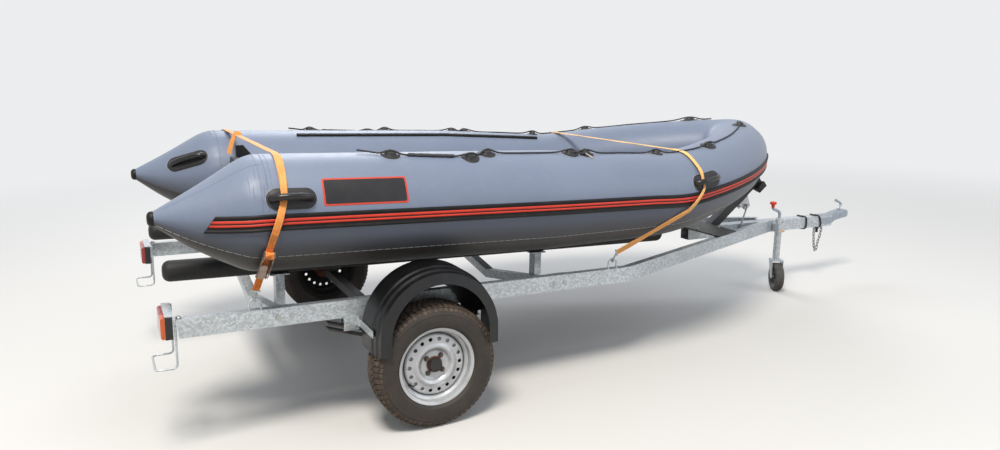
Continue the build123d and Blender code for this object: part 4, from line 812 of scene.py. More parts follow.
def ring_tree():
    """Node tree that sets copies of one piece round a circle, each facing outwards and tipped towards the axis."""
    tree, given = tree_for("set_round_ring", {"Piece": "Object", "Count": "Int", "Radius": "Float", "Height": "Float",
                                              "Start": "Float", "Tip": "Float", "Finish": "Material"})
    circle = add(tree, "GeometryNodeMeshCircle", {}, {"Vertices": (given, "Count"), "Radius": (given, "Radius")})
    swing = add(tree, "ShaderNodeCombineXYZ", {}, {"Z": (given, "Start")})
    shift = add(tree, "ShaderNodeCombineXYZ", {}, {"Z": (given, "Height")})
    spot = add(tree, "GeometryNodeInputPosition")
    facing = add(tree, "FunctionNodeAxesToRotation", {"primary_axis": "Z", "secondary_axis": "X"},
                 {"Primary Axis": (spot, 0), "Secondary Axis": (0.0, 0.0, 1.0)})
    lean = add(tree, "ShaderNodeCombineXYZ", {}, {"Y": (given, "Tip")})
    tipped = add(tree, "FunctionNodeRotateRotation", {"rotation_space": "LOCAL"},
                 {"Rotation": (facing, 0), "Rotate By": (lean, 0)})
    source = add(tree, "GeometryNodeObjectInfo", {}, {"Object": (given, "Piece")})
    copies = add(tree, "GeometryNodeInstanceOnPoints", {},
                 {"Points": (circle, 0), "Instance": (source, "Geometry"), "Rotation": (tipped, 0)})
    moved = add(tree, "GeometryNodeTransform", {},
                {"Geometry": (copies, 0), "Translation": (shift, 0), "Rotation": (swing, 0)})
    return end_tree(tree, given, moved)


set_round = ring_tree()


def shape(name, rings, closed=False):
    """A loose object through rings of points, to be copied."""
    points, faces = loops_mesh(rings, closed)
    made = linked(name)
    made.data.from_pydata([tuple(p) for p in points], [], faces)
    return made


WASHER = 0.0014


def bolt(name, across, height):
    """A hexagon head with a chamfered top on a thin washer."""
    rings = []
    for a, share, flats in ((0, 0.85, False), (WASHER, 0.85, False), (WASHER, 0.56, True), (height * 0.85, 0.56, True),
                            (height, 0.46, True), (height, 0.2, True)):
        ring = []
        for k in range(24):
            turn = 2 * pi * k / 24
            reach = across * share
            if flats:
                reach *= cos(pi / 6) / cos((turn % (pi / 3)) - pi / 6)
            ring.append(Vector((reach * cos(turn), reach * sin(turn), a)))
        rings.append(ring)
    return shape(name, rings)


def round_wheel(name, side, piece, settings, finish):
    """Copies of a piece round one wheel: settings are their count, radius, height, start and tip."""
    values = dict(zip(("Count", "Radius", "Height", "Start", "Tip"), settings), Piece=piece, Finish=finish)
    made = grown(name + "_" + side, linked("row"), set_round, values, "wheel_" + side)
    made.data.transform(wheel_frames[side])
    return made


# Each row of lugs: height on the axis, width, radius, start, rake of its sides and tip. A lug is 21.5 mm long.
LUGS, LUG_LENGTH, LUG_DEPTH, LUG_BEVEL, LUG_TOP, EDGE_TIP = 66, 0.0215, 0.0076, 0.0012, 0.93, 0.30
tread_rows = ((0.0105, 0.0175, 0.2842, 0.0, 0.35, 0.0), (-0.0105, 0.0175, 0.2842, 0.048, -0.35, 0.0),
              (0.0335, 0.0205, 0.2836, 0.024, 0.5, 0.0), (-0.0335, 0.0205, 0.2836, 0.0, -0.5, 0.0),
              (0.0590, 0.0235, 0.2806, 0.0, 0.25, EDGE_TIP), (-0.0590, 0.0235, 0.2806, 0.03, -0.25, -EDGE_TIP))
# Lower bars run on over the tyre's shoulders.
SHOULDER_AXIAL, SHOULDER_RADIUS, SHOULDER_TIP, SHOULDER_BAR = 0.0755, 0.2668, 0.95, (0.0170, 0.0200, 0.0040)
HUB_BOLTS, BOLT_CIRCLE, BOLT_FOOT, BOLT_START, BOLT_ACROSS, BOLT_HIGH = 4, 0.049, 0.030, 0.9, 0.0150, 0.015
CAP_AROUND, VALVE_AROUND, VALVE_TURN, VALVE_RADIUS, VALVE_LEAN = 48, 14, radians(214), 0.1535, radians(-16)
cap_outline = [(0.031, 0.0370), (0.037, 0.0362), (0.037, 0.0318), (0.051, 0.0312), (0.0555, 0.0288), (0.0570, 0.0220),
               (0.0576, 0.0080)]
stem_outline = [(0.030, 0.0045), (0.055, 0.0042), (0.058, 0.0036), (0.070, 0.0036), (0.071, 0.0026)]
valve_place = Matrix.Rotation(VALVE_TURN, 4, "Z") @ Matrix.Translation((VALVE_RADIUS, 0, 0)) \
    @ Matrix.Rotation(VALVE_LEAN, 4, "Y")
for side in ("starboard", "port"):
    body, place = "wheel_" + side, wheel_frames[side]
    tyre = lofted("tyre_carcass_" + side, turned_rings(tyre_outline), [tyre_wall], True, body=body, place=place)
    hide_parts("tyre_" + side)
    for n, (axial, width, high, start, skew, tip) in enumerate(tread_rows):
        lug = block("lug", width, LUG_LENGTH, LUG_DEPTH, LUG_BEVEL, skew, LUG_TOP)
        row = round_wheel("tread_row_%d" % n, side, lug, (LUGS, high, axial, start, tip), tread_rubber)
    for n, out in enumerate((1, -1)):
        lug = block("lug", *SHOULDER_BAR, LUG_BEVEL, 0.0, LUG_TOP)
        row = round_wheel("shoulder_row_%d" % n, side, lug,
                          (LUGS, SHOULDER_RADIUS, out * SHOULDER_AXIAL, 0.0, out * SHOULDER_TIP), tread_rubber)
    # The rim: the disc, the barrel round it and the disc's back.
    ring_points, ring_faces = loops_mesh(turned_rings(barrel, BARREL_AROUND), closed=True)
    back_points = [p - Vector((0, 0, DISC_THICK)) for p in disc_points]
    count, more = len(disc_points), len(disc_points) + len(ring_points)
    rim_faces = disc_faces + [tuple(i + count for i in face) for face in ring_faces] \
        + [tuple(i + more for i in face) for face in disc_faces]
    # The barrel behind the disc and the disc's back take the near-black of painted shade.
    picks = [0] * (len(disc_faces) + BARREL_BACK * BARREL_AROUND)
    picks += [1] * (len(rim_faces) - len(picks))
    rim = made_piece("pressed_rim_" + side, disc_points + ring_points + back_points, rim_faces, [silver, rim_back],
                     picks, merge=True, body=body, place=place)
    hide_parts("rim_" + side)
    # The dust cap's first two bands are the hub's own rusty lip.
    picks = [1] * (2 * CAP_AROUND) + [0] * ((len(cap_outline) - 3) * CAP_AROUND) + [1, 0]
    dust_cap = lofted("dust_cap_" + side, turned_rings(cap_outline, CAP_AROUND), [cap_plastic, casting], picks=picks,
                      body=body, place=place)
    bolts = round_wheel("wheel_bolts", side, bolt("head", BOLT_ACROSS, BOLT_HIGH),
                        (HUB_BOLTS, BOLT_CIRCLE, BOLT_FOOT, BOLT_START, pi / 2), bolt_steel)
    valve = lofted("tyre_valve_" + side, turned_rings(stem_outline, VALVE_AROUND), [cap_plastic], body=body,
                   place=place @ valve_place)


# Carrying handles.
# Moulded black rubber: a stadium-shaped base glued on an oval patch, with a thick glossy grip that arches over it.
# A pale line of dried glue shows round the patch.


def laid(x, angle, along, across, lift):
    """Point over the starboard skin: metres along the tube and up round it from a station and an angle in degrees."""
    ring = ring_at(x + along)
    return on_ring(ring, radians(angle) + across / ring[2].length, lift)


def stadium(length, width, count=40):
    """Outline with round ends."""
    r = width / 2
    half = length / 2 - r
    spots = []
    for k in range(count):
        turn = 2 * pi * k / count
        spots.append((r * cos(turn) + (half if cos(turn) > 1e-9 else -half if cos(turn) < -1e-9 else 0), r * sin(turn)))
    return spots


def raised_patch(name, side, x, angle, outline, levels, materials):
    """A low moulding on the skin, by levels: share of the outline, height in mm and the next band's finish."""
    rings = []
    for share, lift, _ in levels:
        rings.append(on_side(side, [laid(x, angle, u * share, v * share, lift / 1000) for u, v in outline]))
    picks = [level[2] for level in levels[:-1] for _ in outline] + [levels[0][2], levels[-1][2]]
    patch = lofted(name, rings, materials, picks=picks, smooth=35)
    return patch


STRAND_RIDGE = 0.16


def swept(path, radius, count=12, twist=None, taper=None):
    """Rings of points round a path; a twist gives the ridges of a laid rope as strands and turns a metre."""
    rings = []
    frame_up = None
    travelled = 0.0
    for i, p in enumerate(path):
        before, after = path[max(i - 1, 0)], path[min(i + 1, len(path) - 1)]
        way = (after - before).normalized()
        if frame_up is None:
            frame_up = way.orthogonal().normalized()
        frame_up = (frame_up - way * frame_up.dot(way)).normalized()
        level = way.cross(frame_up)
        if i:
            travelled += (p - path[i - 1]).length
        ring = []
        for k in range(count):
            turn = 2 * pi * k / count
            r = radius * (taper(i / (len(path) - 1)) if taper else 1)
            if twist:
                r *= 1 + STRAND_RIDGE * cos(twist[0] * (turn + 2 * pi * twist[1] * travelled))
            ring.append(p + (frame_up * cos(turn) + level * sin(turn)) * r)
        rings.append(ring)
    return rings


def flowing(corners, step):
    """Points at a step along a smooth line through corners."""
    corners = [Vector(c) for c in corners]
    points = []
    for i in range(len(corners) - 1):
        a, b = corners[max(i - 1, 0)], corners[i]
        c, d = corners[i + 1], corners[min(i + 2, len(corners) - 1)]
        count = max(int((c - b).length / step), 2)
        for n in range(count):
            t = n / count
            points.append(b * (1 - 3 * t * t + 2 * t ** 3) + c * (3 * t * t - 2 * t ** 3)
                          + (c - a) * 0.5 * (t - 2 * t * t + t ** 3) + (d - b) * 0.5 * (t ** 3 - t * t))
    points.append(corners[-1])
    return points


base_rubber = painted("moulded_patch_rubber", "#1D1D20", "#3C3A39", 0.5, 0.35, scale=35, grit=0.3)
grip_rubber = painted("glossy_grip_rubber", "#141416", "#333232", 0.26, 0.3, scale=30, grit=0.08)
handle_places = (("rear", -0.600, 21.5), ("front", 1.612, 19.0), ("stern", -0.850, 147.0))
handle_outline = stadium(0.204, 0.090, 56)
# A rim of dried glue, the patch's edge, a step up to the base, and its level top.
GLUE, TOP_LIFT, GRIP_RADIUS = 1, 8.2, 0.0145
handle_levels = [(1.015, -0.5, GLUE), (1.012, 0.9, GLUE), (1.0, 1.0, 0), (0.995, 2.6, 0), (0.97, 3.2, 0),
                 (0.90, 3.4, 0), (0.87, 4.2, 0), (0.86, 7.0, 0), (0.83, 8.0, 0)]
handle_levels += [(share, TOP_LIFT, 0) for share in (0.7, 0.55, 0.4, 0.2, 0.05)]
# Half of the grip's arch, from its foot to the middle.
half_arch = [(-0.078, 0.004), (-0.074, 0.014), (-0.062, 0.026), (-0.044, 0.034), (-0.02, 0.0385)]
grip_arch = half_arch + [(0, 0.039)] + [(-u, h) for u, h in reversed(half_arch)]
for name, x, angle in handle_places:
    for side in ("starboard", "port"):
        raised_patch("handle_base_%s_%s" % (name, side), side, x, angle, handle_outline, handle_levels,
                     [base_rubber, glue_line])
        path = on_side(side, flowing([laid(x, angle, u, 0, h) for u, h in grip_arch], 0.006))
        rings = swept(path, GRIP_RADIUS, 18, taper=lambda t: 1.28 - 0.28 * min(1, 6 * t, 6 * (1 - t)))
        grip = lofted("handle_grip_%s_%s" % (name, side), rings, [grip_rubber])
        if name == "rear" and side == "starboard":
            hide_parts("carry_handles")

# Blank badge.
# A printed vinyl plate welded ahead of the rear handle: black face in a red-orange border. It is left bare.
badge_black = painted("black_vinyl_plate", "#1B1A1E", "#2B2A2E", 0.34, 0.4, scale=18, grit=0.05)
badge_red = painted("red_orange_vinyl_border", "#D2452F", "#B93D2B", 0.36, 0.5, scale=25, grit=0.05)
BADGE_X, BADGE_ANGLE, BADGE_LENGTH, BADGE_HEIGHT, BADGE_CORNER = -0.285, 27.0, 0.372, 0.122, 0.012
BORDER, FACE_CORNER, BORDER_LIFT, FACE_LIFT, RUN_STEP = 0.016, 0.008, 1.25, 1.7, 0.009


def rounded_plate(length, height, corner, count=8):
    """Outline of a rounded rectangle."""
    spots = []
    for n, (sx, sy) in enumerate(((1, 1), (-1, 1), (-1, -1), (1, -1))):
        for k in range(count + 1):
            turn = pi / 2 * (n + k / count)
            spots.append((sx * (length / 2 - corner) + corner * cos(turn),
                          sy * (height / 2 - corner) + corner * sin(turn)))
    # Straight runs get points too, so that the plate follows the tube's curve.
    full = []
    for (u0, v0), (u1, v1) in zip(spots, spots[1:] + spots[:1]):
        steps = max(int(hypot(u1 - u0, v1 - v0) / RUN_STEP), 1)
        full += [(u0 + (u1 - u0) * k / steps, v0 + (v1 - v0) * k / steps) for k in range(steps)]
    return full


border_outline = rounded_plate(BADGE_LENGTH, BADGE_HEIGHT, BADGE_CORNER)
border_levels = [(1.0, 0.1, 0), (1.0, 1.0, 0), (0.985, 1.2, 0), (0.975, BORDER_LIFT, 0)]
border_levels += [(share, BORDER_LIFT, 0) for share in (0.8, 0.6, 0.4, 0.2, 0.02)]
face_outline = rounded_plate(BADGE_LENGTH - BORDER, BADGE_HEIGHT - BORDER, FACE_CORNER)
face_levels = [(1.0, 1.0, 0)] + [(share, FACE_LIFT, 0) for share in (1.0, 0.8, 0.6, 0.4, 0.2, 0.02)]
for side in ("starboard", "port"):
    raised_patch("badge_border_" + side, side, BADGE_X, BADGE_ANGLE, border_outline, border_levels, [badge_red])
    raised_patch("badge_face_" + side, side, BADGE_X, BADGE_ANGLE, face_outline, face_levels, [badge_black])

# Eyelets and grab line.
# Round rubber patches with a hollow boss, and a black braided line threaded through them along the top of each tube.
# The line is held tight by its knots, with a thick sleeve as a grip and short melted ends.
EYELET_RADIUS, EYELET_AROUND = 0.045, 32
eyelet_places = ((-0.122, 76), (0.256, 67), (0.358, 76), (0.827, 76), (0.920, 76), (1.421, 88), (1.835, 76),
                 (2.440, 85))
eyelet_outline = [(EYELET_RADIUS * cos(2 * pi * k / EYELET_AROUND), EYELET_RADIUS * sin(2 * pi * k / EYELET_AROUND))
                  for k in range(EYELET_AROUND)]
eyelet_levels = [(1.02, -0.5, GLUE), (1.02, 0.8, GLUE), (1.0, 0.9, 0), (0.99, 3.6, 0), (0.94, 4.8, 0), (0.64, 5.4, 0),
                 (0.54, 10.0, 0), (0.50, 15.0, 0), (0.42, 19.5, 0), (0.30, 21.0, 0), (0.12, 21.3, 0), (0.03, 20.9, 0)]
for n, (x, angle) in enumerate(eyelet_places):
    for side in ("starboard", "port"):
        patch = raised_patch("line_eyelet_%d_%s" % (n, side), side, x, angle, eyelet_outline, eyelet_levels,
                             [base_rubber, glue_line])
        if n == 0 and side == "starboard":
            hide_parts("line_eyelets")

line_cover, tree, shader = new_material("black_braided_polypropylene")
where = add(tree, "ShaderNodeTexCoord")
# Plaits are 3 mm long; they are drawn at that size.
plait = add(tree, "ShaderNodeTexVoronoi", {"feature": "F1", "distance": "MANHATTAN"},
            {"Vector": (where, "Object"), "Scale": 330})
tone = add(tree, "ShaderNodeMix", {"data_type": "RGBA"},
           {0: (plait, "Distance"), 6: srgb("#1C1C20"), 7: srgb("#3A3A40")})
tree.links.new(tone.outputs[2], shader.inputs["Base Color"])
relief = add(tree, "ShaderNodeBump", {}, {"Height": (plait, "Distance"), "Strength": 0.6, "Distance": 0.001})
tree.links.new(relief.outputs[0], shader.inputs["Normal"])
shader.inputs["Roughness"].default_value = 0.6
sleeve_cover = painted("grey_braided_sleeve", "#3A3A3E", "#5B5B5E", 0.65, 0.7, scale=120, grit=0.5)
rope_tail = painted("frayed_pale_cord", "#B9B6AE", "#8D8A84", 0.8, 0.6, scale=120, grit=0.5)
# Station, angle and height over the skin at each stop; at an eyelet the line lies on its boss.
AT_EYELET = 0.0240
line_stops = (
    (-0.262, 88, 0.014), (-0.220, 84, 0.010), (-0.170, 79, 0.008), (-0.122, 76, AT_EYELET), (-0.060, 73.5, 0.0065),
    (0.050, 70.5, 0.0055), (0.170, 68.0, 0.0055), (0.256, 67, AT_EYELET), (0.306, 71.5, 0.0065), (0.358, 76, AT_EYELET),
    (0.430, 75.5, 0.006), (0.590, 74.5, 0.005), (0.740, 75.5, 0.006), (0.827, 76, AT_EYELET), (0.874, 77.5, 0.0075),
    (0.920, 76, AT_EYELET), (1.010, 78, 0.006), (1.160, 82, 0.005), (1.330, 86, 0.006), (1.421, 88, AT_EYELET),
    (1.500, 86, 0.006), (1.620, 80, 0.005), (1.760, 77.5, 0.006), (1.835, 76, AT_EYELET), (1.920, 77, 0.006),
    (2.120, 79, 0.005), (2.340, 83, 0.006), (2.440, 85, AT_EYELET), (2.500, 87, 0.006), (2.545, 90, 0.005))
sleeve_stops = ((-0.045, 73, 0.0075), (0.030, 71, 0.0075), (0.110, 69.3, 0.0075), (0.175, 68, 0.0078))
# A doubled cord lashes the pair of eyelets amidships; its frayed pale end hangs outboard.
lashing_stops = ((0.815, 83, 0.005), (0.832, 79, 0.012), (0.842, 74, 0.016), (0.872, 70.5, 0.012), (0.905, 71.5, 0.013),
                 (0.912, 76, 0.0245), (0.900, 80, 0.012), (0.872, 83, 0.005))
tail_stops = ((0.905, 71.0, 0.012), (0.920, 68.0, 0.006), (0.928, 65.5, 0.0035), (0.934, 63.0, 0.003))
LINE_STRANDS, SLEEVE_STRANDS = (3, 22), (7, 60)


def rigged(name, side, stops, step, thick, around, strands, material, taper=None):
    """A cord of twisted strands over one tube, through its stops."""
    path = on_side(side, flowing([laid(x, angle, 0, 0, lift) for x, angle, lift in stops], step))
    return lofted(name + "_" + side, swept(path, thick, around, strands, taper), [material], smooth=60)


for side in ("starboard", "port"):
    rope = rigged("grab_line", side, line_stops, 0.005, 0.0042, 10, LINE_STRANDS, line_cover)
    sleeve = rigged("line_sleeve", side, sleeve_stops, 0.004, 0.0075, 14, SLEEVE_STRANDS, sleeve_cover,
                    lambda t: 0.8 + 0.2 * min(1, 12 * t, 12 * (1 - t)))
    lashing = rigged("lashing_cord", side, lashing_stops, 0.004, 0.0038, 10, LINE_STRANDS, line_cover)
    end = rigged("lashing_tail", side, tail_stops, 0.004, 0.0036, 10, LINE_STRANDS, rope_tail, lambda t: 1 + 0.5 * t)

# Lashing straps and ratchet.
# Flat polyester webbing over both tubes, threaded under the grips and pulled tight, so it puckers where it bends.
# Wire hooks hold its ends in the frame's loops; the rear strap has a pressed ratchet, its webbing wound on the spool.
webbing, tree, shader = new_material("woven_polyester_webbing")
where = add(tree, "ShaderNodeTexCoord")
cloud = add(tree, "ShaderNodeTexNoise", {},
            {"Vector": (where, "Object"), "Scale": 75, "Detail": 5, "Roughness": 0.7})
patchy = add(tree, "ShaderNodeMapRange", {}, {"Value": (cloud, "Fac"), "From Min": 0.36, "From Max": 0.64})
tone = add(tree, "ShaderNodeMix", {"data_type": "RGBA"}, {0: (patchy, 0), 6: srgb("#E0691A"), 7: srgb("#F79A3A")})
part = add(tree, "ShaderNodeSeparateXYZ", {}, {"Vector": (where, "Object")})
high = add(tree, "ShaderNodeMapRange", {}, {"Value": (part, "Z"), "From Min": 0.80, "From Max": 1.15, "To Max": 0.45})
ahead = add(tree, "ShaderNodeMath", {"operation": "GREATER_THAN"}, {0: (part, "X"), 1: -0.6})
painted_sunlight = add(tree, "ShaderNodeMath", {"operation": "MULTIPLY_ADD", "use_clamp": True},
             {0: (ahead, 0), 1: 0.55, 2: (high, 0)})
# Painted light: the upper runs and the forward strap are made paler, as the sun lights them more.
sunlit_tone = add(tree, "ShaderNodeMix", {"data_type": "RGBA"}, {0: (painted_sunlight, 0), 6: (tone, 2), 7: srgb("#FFCB7C")})
tree.links.new(sunlit_tone.outputs[2], shader.inputs["Base Color"])
shader.inputs["Roughness"].default_value = 0.7
shader.inputs["Sheen Weight"].default_value = 0.25
# Threads are 1.4 mm apart, drawn at 2.5 mm so that they show.
rib = add(tree, "ShaderNodeTexVoronoi", {"feature": "F1", "distance": "CHEBYCHEV"},
          {"Vector": (where, "Object"), "Scale": 400})
cloth = add(tree, "ShaderNodeBump", {}, {"Height": (rib, "Distance"), "Strength": 0.5, "Distance": 0.001})
tree.links.new(cloth.outputs[0], shader.inputs["Normal"])
HALF_WEB, WEB_THICK, FOLD_DEPTH, WEB_EDGE, WEB_STEP, HOOK_GAP = 0.016, 0.0026, 0.0026, 0.6, 0.007, 0.005
hook_tops = {"rear": Vector((-0.740, -0.8181, 0.671)), "front": Vector((1.095, -0.8181, 0.671))}
# Station, angle, height over the skin, share of the full width and depth of its folds at each corner.
strap_routes = {
    "rear": ((-0.676, -9.5, 0.0188, 0.92, 0.25), (-0.662, 0, 0.0203, 0.92, 0.2), (-0.648, 10, 0.0188, 0.90, 0.2),
             (-0.633, 21.5, 0.0103, 0.84, 0.3), (-0.630, 33, 0.0143, 0.92, 0.7), (-0.627, 50, 0.0078, 1.0, 0.9),
             (-0.624, 70, 0.0078, 1.0, 0.8), (-0.622, 90, 0.0048, 0.95, 0.3)),
    "front": ((1.460, -14, 0.0193, 0.8, 0.3), (1.513, -2, 0.0213, 0.62, 0.2), (1.562, 10, 0.0193, 0.36, 0.3),
              (1.576, 20, 0.0103, 0.50, 0.3), (1.582, 33, 0.0153, 0.72, 0.4), (1.592, 50, 0.0083, 0.8, 0.4),
              (1.604, 70, 0.0083, 0.8, 0.3), (1.615, 90, 0.0053, 0.75, 0.2))}


def strap_corners(route, top):
    """Corners of one strap from hook to hook, with the way off the skin, width share and fold depth."""
    skin = []
    for x, angle, lift, share, fold in route:
        spot = laid(x, angle, 0, 0, lift)
        skin.append((spot, (laid(x, angle, 0, 0, lift + 0.01) - spot).normalized(), share, fold))
    first = skin[0][0]
    start = top + (first - top).normalized() * HOOK_GAP
    off, narrow = skin[0][1:3]
    half = [(start + (first - start) * t, off, share, 0.5)
            for t, share in ((0.0, 0.97), (0.15, 0.95), (0.5, narrow), (0.95, narrow))] + skin
    last = half[-1][0]
    gap = Vector((0, 2 * abs(last.y), 0))
    middle = [(last + gap * t, Vector((0, 0, 1)), 0.9, 0.15) for t in (0.04, 0.12, 0.5, 0.88, 0.96)]
    other = [(mirrored(p), mirrored(n), share, fold) for p, n, share, fold in reversed(half)]
    return half + middle + other


def webbing_rings(corners):
    """Rings of points for folded webbing through its corners."""
    path = flowing([corner[0] for corner in corners], WEB_STEP)
    places = []
    for i in range(len(corners) - 1):
        count = max(int((corners[i + 1][0] - corners[i][0]).length / WEB_STEP), 2)
        places += [(i, n / count) for n in range(count)]
    places.append((len(corners) - 2, 1.0))
    rings = []
    for i, (p, (corner, t)) in enumerate(zip(path, places)):
        off, share, fold = (a * (1 - t) + b * t for a, b in zip(corners[corner][1:], corners[corner + 1][1:]))
        way = (path[min(i + 1, len(path) - 1)] - path[max(i - 1, 0)]).normalized()
        off = (off - way * off.dot(way)).normalized()
        across = off.cross(way)
        thick = WEB_THICK / 2 * (1 + 1.6 * (1 - share))
        ring = []
        # Across the outer face, and back across the inner one, whose folds are a fifth shallower.
        for face, depth, order in ((1, 1.0, range(13)), (-1, 0.8, range(12, -1, -1))):
            for k in order:
                u = -1 + k / 6
                pucker = fold * FOLD_DEPTH * (cos(2.6 * pi * u + i * 0.16) + 0.4 * cos(5 * pi * u - i * 0.09))
                edge = WEB_EDGE if abs(u) == 1 else 1
                ring.append(p + across * u * HALF_WEB * share + off * (pucker * depth + face * thick * edge))
        rings.append(ring)
    return rings


for name in ("rear", "front"):
    rings = webbing_rings(strap_corners(strap_routes[name], hook_tops[name]))
    strap = lofted("lashing_strap_" + name, rings, [webbing], smooth=70)
    if name == "rear":
        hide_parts("lashing_straps")

# The ratchet is set out along the strap's lower run: x up the strap, y across it, z off its face.
foot = hook_tops["rear"]
head_x, head_angle, head_lift = strap_routes["rear"][0][:3]
head = laid(head_x, head_angle, 0, 0, head_lift)
along = (head - foot).normalized()
outward = laid(head_x, head_angle, 0, 0, head_lift + 0.01) - head
outward = (outward - along * outward.dot(along)).normalized()
across = outward.cross(along)
ratchet_frame = Matrix((along, across, outward)).transposed().to_4x4()
ratchet_frame.translation = foot + (head - foot) * 0.50 + outward * 0.0035
# Cheeks 2.5 mm thick, a lever of 2 mm plate and a toothed wheel on each end of the spool; three bars lie across them.
SPOOL, TEETH, TOOTH_TIP, TOOTH_ROOT, BAR_END = (0.054, 0.013), 26, 0.0165, 0.0125, 0.0235
CHEEK_Y, LEVER_Y, TOOTH_Y = (0.0175, 0.0200), (0.0205, 0.0225), (0.0205, 0.0222)
LEVER_PLATE, LEVER_LIFT, LEVER_TILT = 0.0022, 0.022, radians(3)
ratchet_steel = painted("yellow_zinc_ratchet_steel", "#9C8B80", "#6A5547", 0.36, 0.7, scale=60, metallic=0.8, grit=0.2)


def plate_points(outline, low, high, frame_of, axis="y"):
    """A flat plate from an outline, with its thickness along one axis of its frame."""
    rings = []
    for level in (low, high):
        rings.append([frame_of @ (Vector((u, level, v)) if axis == "y" else Vector((u, v, level))) for u, v in outline])
    return loops_mesh(rings)


parts = []
cheek_line = [(-0.074, 0.004), (-0.070, -0.001), (0.052, -0.001), (0.066, 0.004), (0.072, 0.013), (0.068, 0.024),
              (0.052, 0.029), (0.036, 0.026), (0.020, 0.018), (-0.030, 0.013), (-0.066, 0.012), (-0.073, 0.009)]
lever_line = [(-0.052, -0.0080), (-0.060, -0.0020), (-0.060, 0.0150), (-0.052, 0.0210), (-0.002, 0.0210),
              (0.008, 0.0150), (0.010, 0.004), (0.004, -0.0080)]
flange_line = [(-0.052, -0.008), (0.050, -0.012), (0.062, -0.004), (0.050, 0.0022), (-0.056, 0.0022)]
teeth_line = []
for k in range(TEETH):
    reach, turn = TOOTH_TIP if k % 2 else TOOTH_ROOT, 2 * pi * k / TEETH
    teeth_line.append((SPOOL[0] + reach * cos(turn), SPOOL[1] + reach * sin(turn)))
tilt = ratchet_frame @ Matrix.Translation((0, 0, LEVER_LIFT)) @ Matrix.Rotation(LEVER_TILT, 4, "Y")
for side in (-1, 1):
    parts.append(plate_points(cheek_line, side * CHEEK_Y[0], side * CHEEK_Y[1], ratchet_frame))
parts.append(plate_points(lever_line, 0.0, LEVER_PLATE, tilt, axis="z"))
for side in (-1, 1):
    parts.append(plate_points(flange_line, side * LEVER_Y[0], side * LEVER_Y[1], tilt))
for x, z, r in ((-0.066, 0.005, 0.0045), (*SPOOL, 0.0070), (0.036, 0.012, 0.0030)):
    bar = [ratchet_frame @ Vector((x, y, z)) for y in (-BAR_END, BAR_END)]
    parts.append(loops_mesh(swept(bar, r, 12)))
for side in (-1, 1):
    parts.append(plate_points(teeth_line, side * TOOTH_Y[0], side * TOOTH_Y[1], ratchet_frame))
points, faces = [], []
for more_points, more_faces in parts:
    faces += [tuple(i + len(points) for i in face) for face in more_faces]
    points += more_points
ratchet = made_piece("strap_ratchet", points, faces, [ratchet_steel], smooth=30)
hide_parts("ratchet")
roll = [ratchet_frame @ Vector((SPOOL[0], y, SPOOL[1])) for y in (-0.0168, -0.012, -0.006, 0, 0.006, 0.012, 0.0168)]
wound = lofted("wound_webbing", swept(roll, 0.0148, 22, (3, 8)), [webbing], smooth=60)
# The free end of the rear strap is knotted over its own span and hangs inside the stern.
KNOT_SHARE, KNOT_LIFT = 0.69, 0.006
knot = laid(*strap_routes["rear"][-1][:2], 0, 0, KNOT_LIFT)
knot.y += KNOT_SHARE * 2 * abs(knot.y)
tail_off = Vector((-0.75, -0.6, 0.3)).normalized()
tail_corners = [(knot + Vector((-back * 0.9, back * 0.5, drop)), tail_off, share, fold) for back, drop, share, fold in (
    (-0.012, 0.000, 0.7, 0.6), (-0.004, 0.008, 0.8, 0.6), (0.010, 0.009, 0.85, 0.5), (0.022, -0.010, 0.9, 0.5),
    (0.036, -0.045, 0.95, 0.4), (0.052, -0.100, 1.0, 0.4))]
loose = lofted("strap_tail", webbing_rings(tail_corners), [webbing], smooth=70)

# Seams of the stern cones.
# Lapped welds: a thin edge of cloth that stands a fraction of a millimetre proud and catches pale light.
seam_places = ((TUBE_STERN, -35, 205), (TUBE_STERN - 0.024, 8, 110), (TUBE_STERN + 0.018, 20, 90))
# Short creases where the cloth is gathered over the weld: station and the angles at both ends.
crease_places = ((-0.758, 30, 52), (-0.743, 22, 38), (-0.730, 42, 60), (-0.714, 26, 58), (-0.702, 18, 36),
                 (-0.690, 34, 50))


def weld_line(name, side, line, step, thick, smooth, taper=None):
    """A thin bead of cloth along a line on one tube."""
    rings = swept(flowing(on_side(side, line), step), thick, 6, taper=taper)
    weld = lofted(name + "_" + side, rings, [pvc], smooth=smooth)


for side in ("starboard", "port"):
    for n, (x, low, high) in enumerate(seam_places):
        line = [laid(x, angle, 0, 0, 0.0001) for angle in range(low, high, 4)]
        weld_line("cone_seam_%d" % n, side, line, 0.01, 0.0006 if n else 0.0010, 70)
    for angle in (62, -12):
        line = [laid(TIP_X + 0.03 + 0.385 * k / 20, angle, 0, 0, 0.0002) for k in range(21)]
        weld_line("cone_gore_%d" % (angle + 90), side, line, 0.012, 0.0005, 70)
    for k, (x, low, high) in enumerate(crease_places):
        line = [laid(x + 0.001 * sin(k * 2 + 0.7 * t), low + (high - low) * t / 8, 0, 0, 0.0002) for t in range(9)]
        weld_line("cone_crease_%d" % k, side, line, 0.008, 0.0011, 80, lambda t: max(sin(pi * t), 0.15))

# Coupling, rings and chain.
# A pressed and plated ball coupling with its lever, two black cable rings on the drawbar and a short safety chain.
bright = painted("bluish_zinc_pressing", "#A9B3BD", "#7C7F80", 0.3, 0.5, scale=50, metallic=0.75, grit=0.08)
# Station, half width and lowest and highest point of each section.
coupling_sections = (
    (3.520, 0.0405, 0.484, 0.5755), (3.636, 0.0405, 0.484, 0.5755), (3.650, 0.0370, 0.496, 0.5780),
    (3.690, 0.0330, 0.520, 0.5890), (3.740, 0.0325, 0.529, 0.5980), (3.770, 0.0360, 0.536, 0.6020),
    (3.800, 0.0365, 0.538, 0.6010), (3.822, 0.0310, 0.543, 0.5950), (3.834, 0.0180, 0.551, 0.5820))


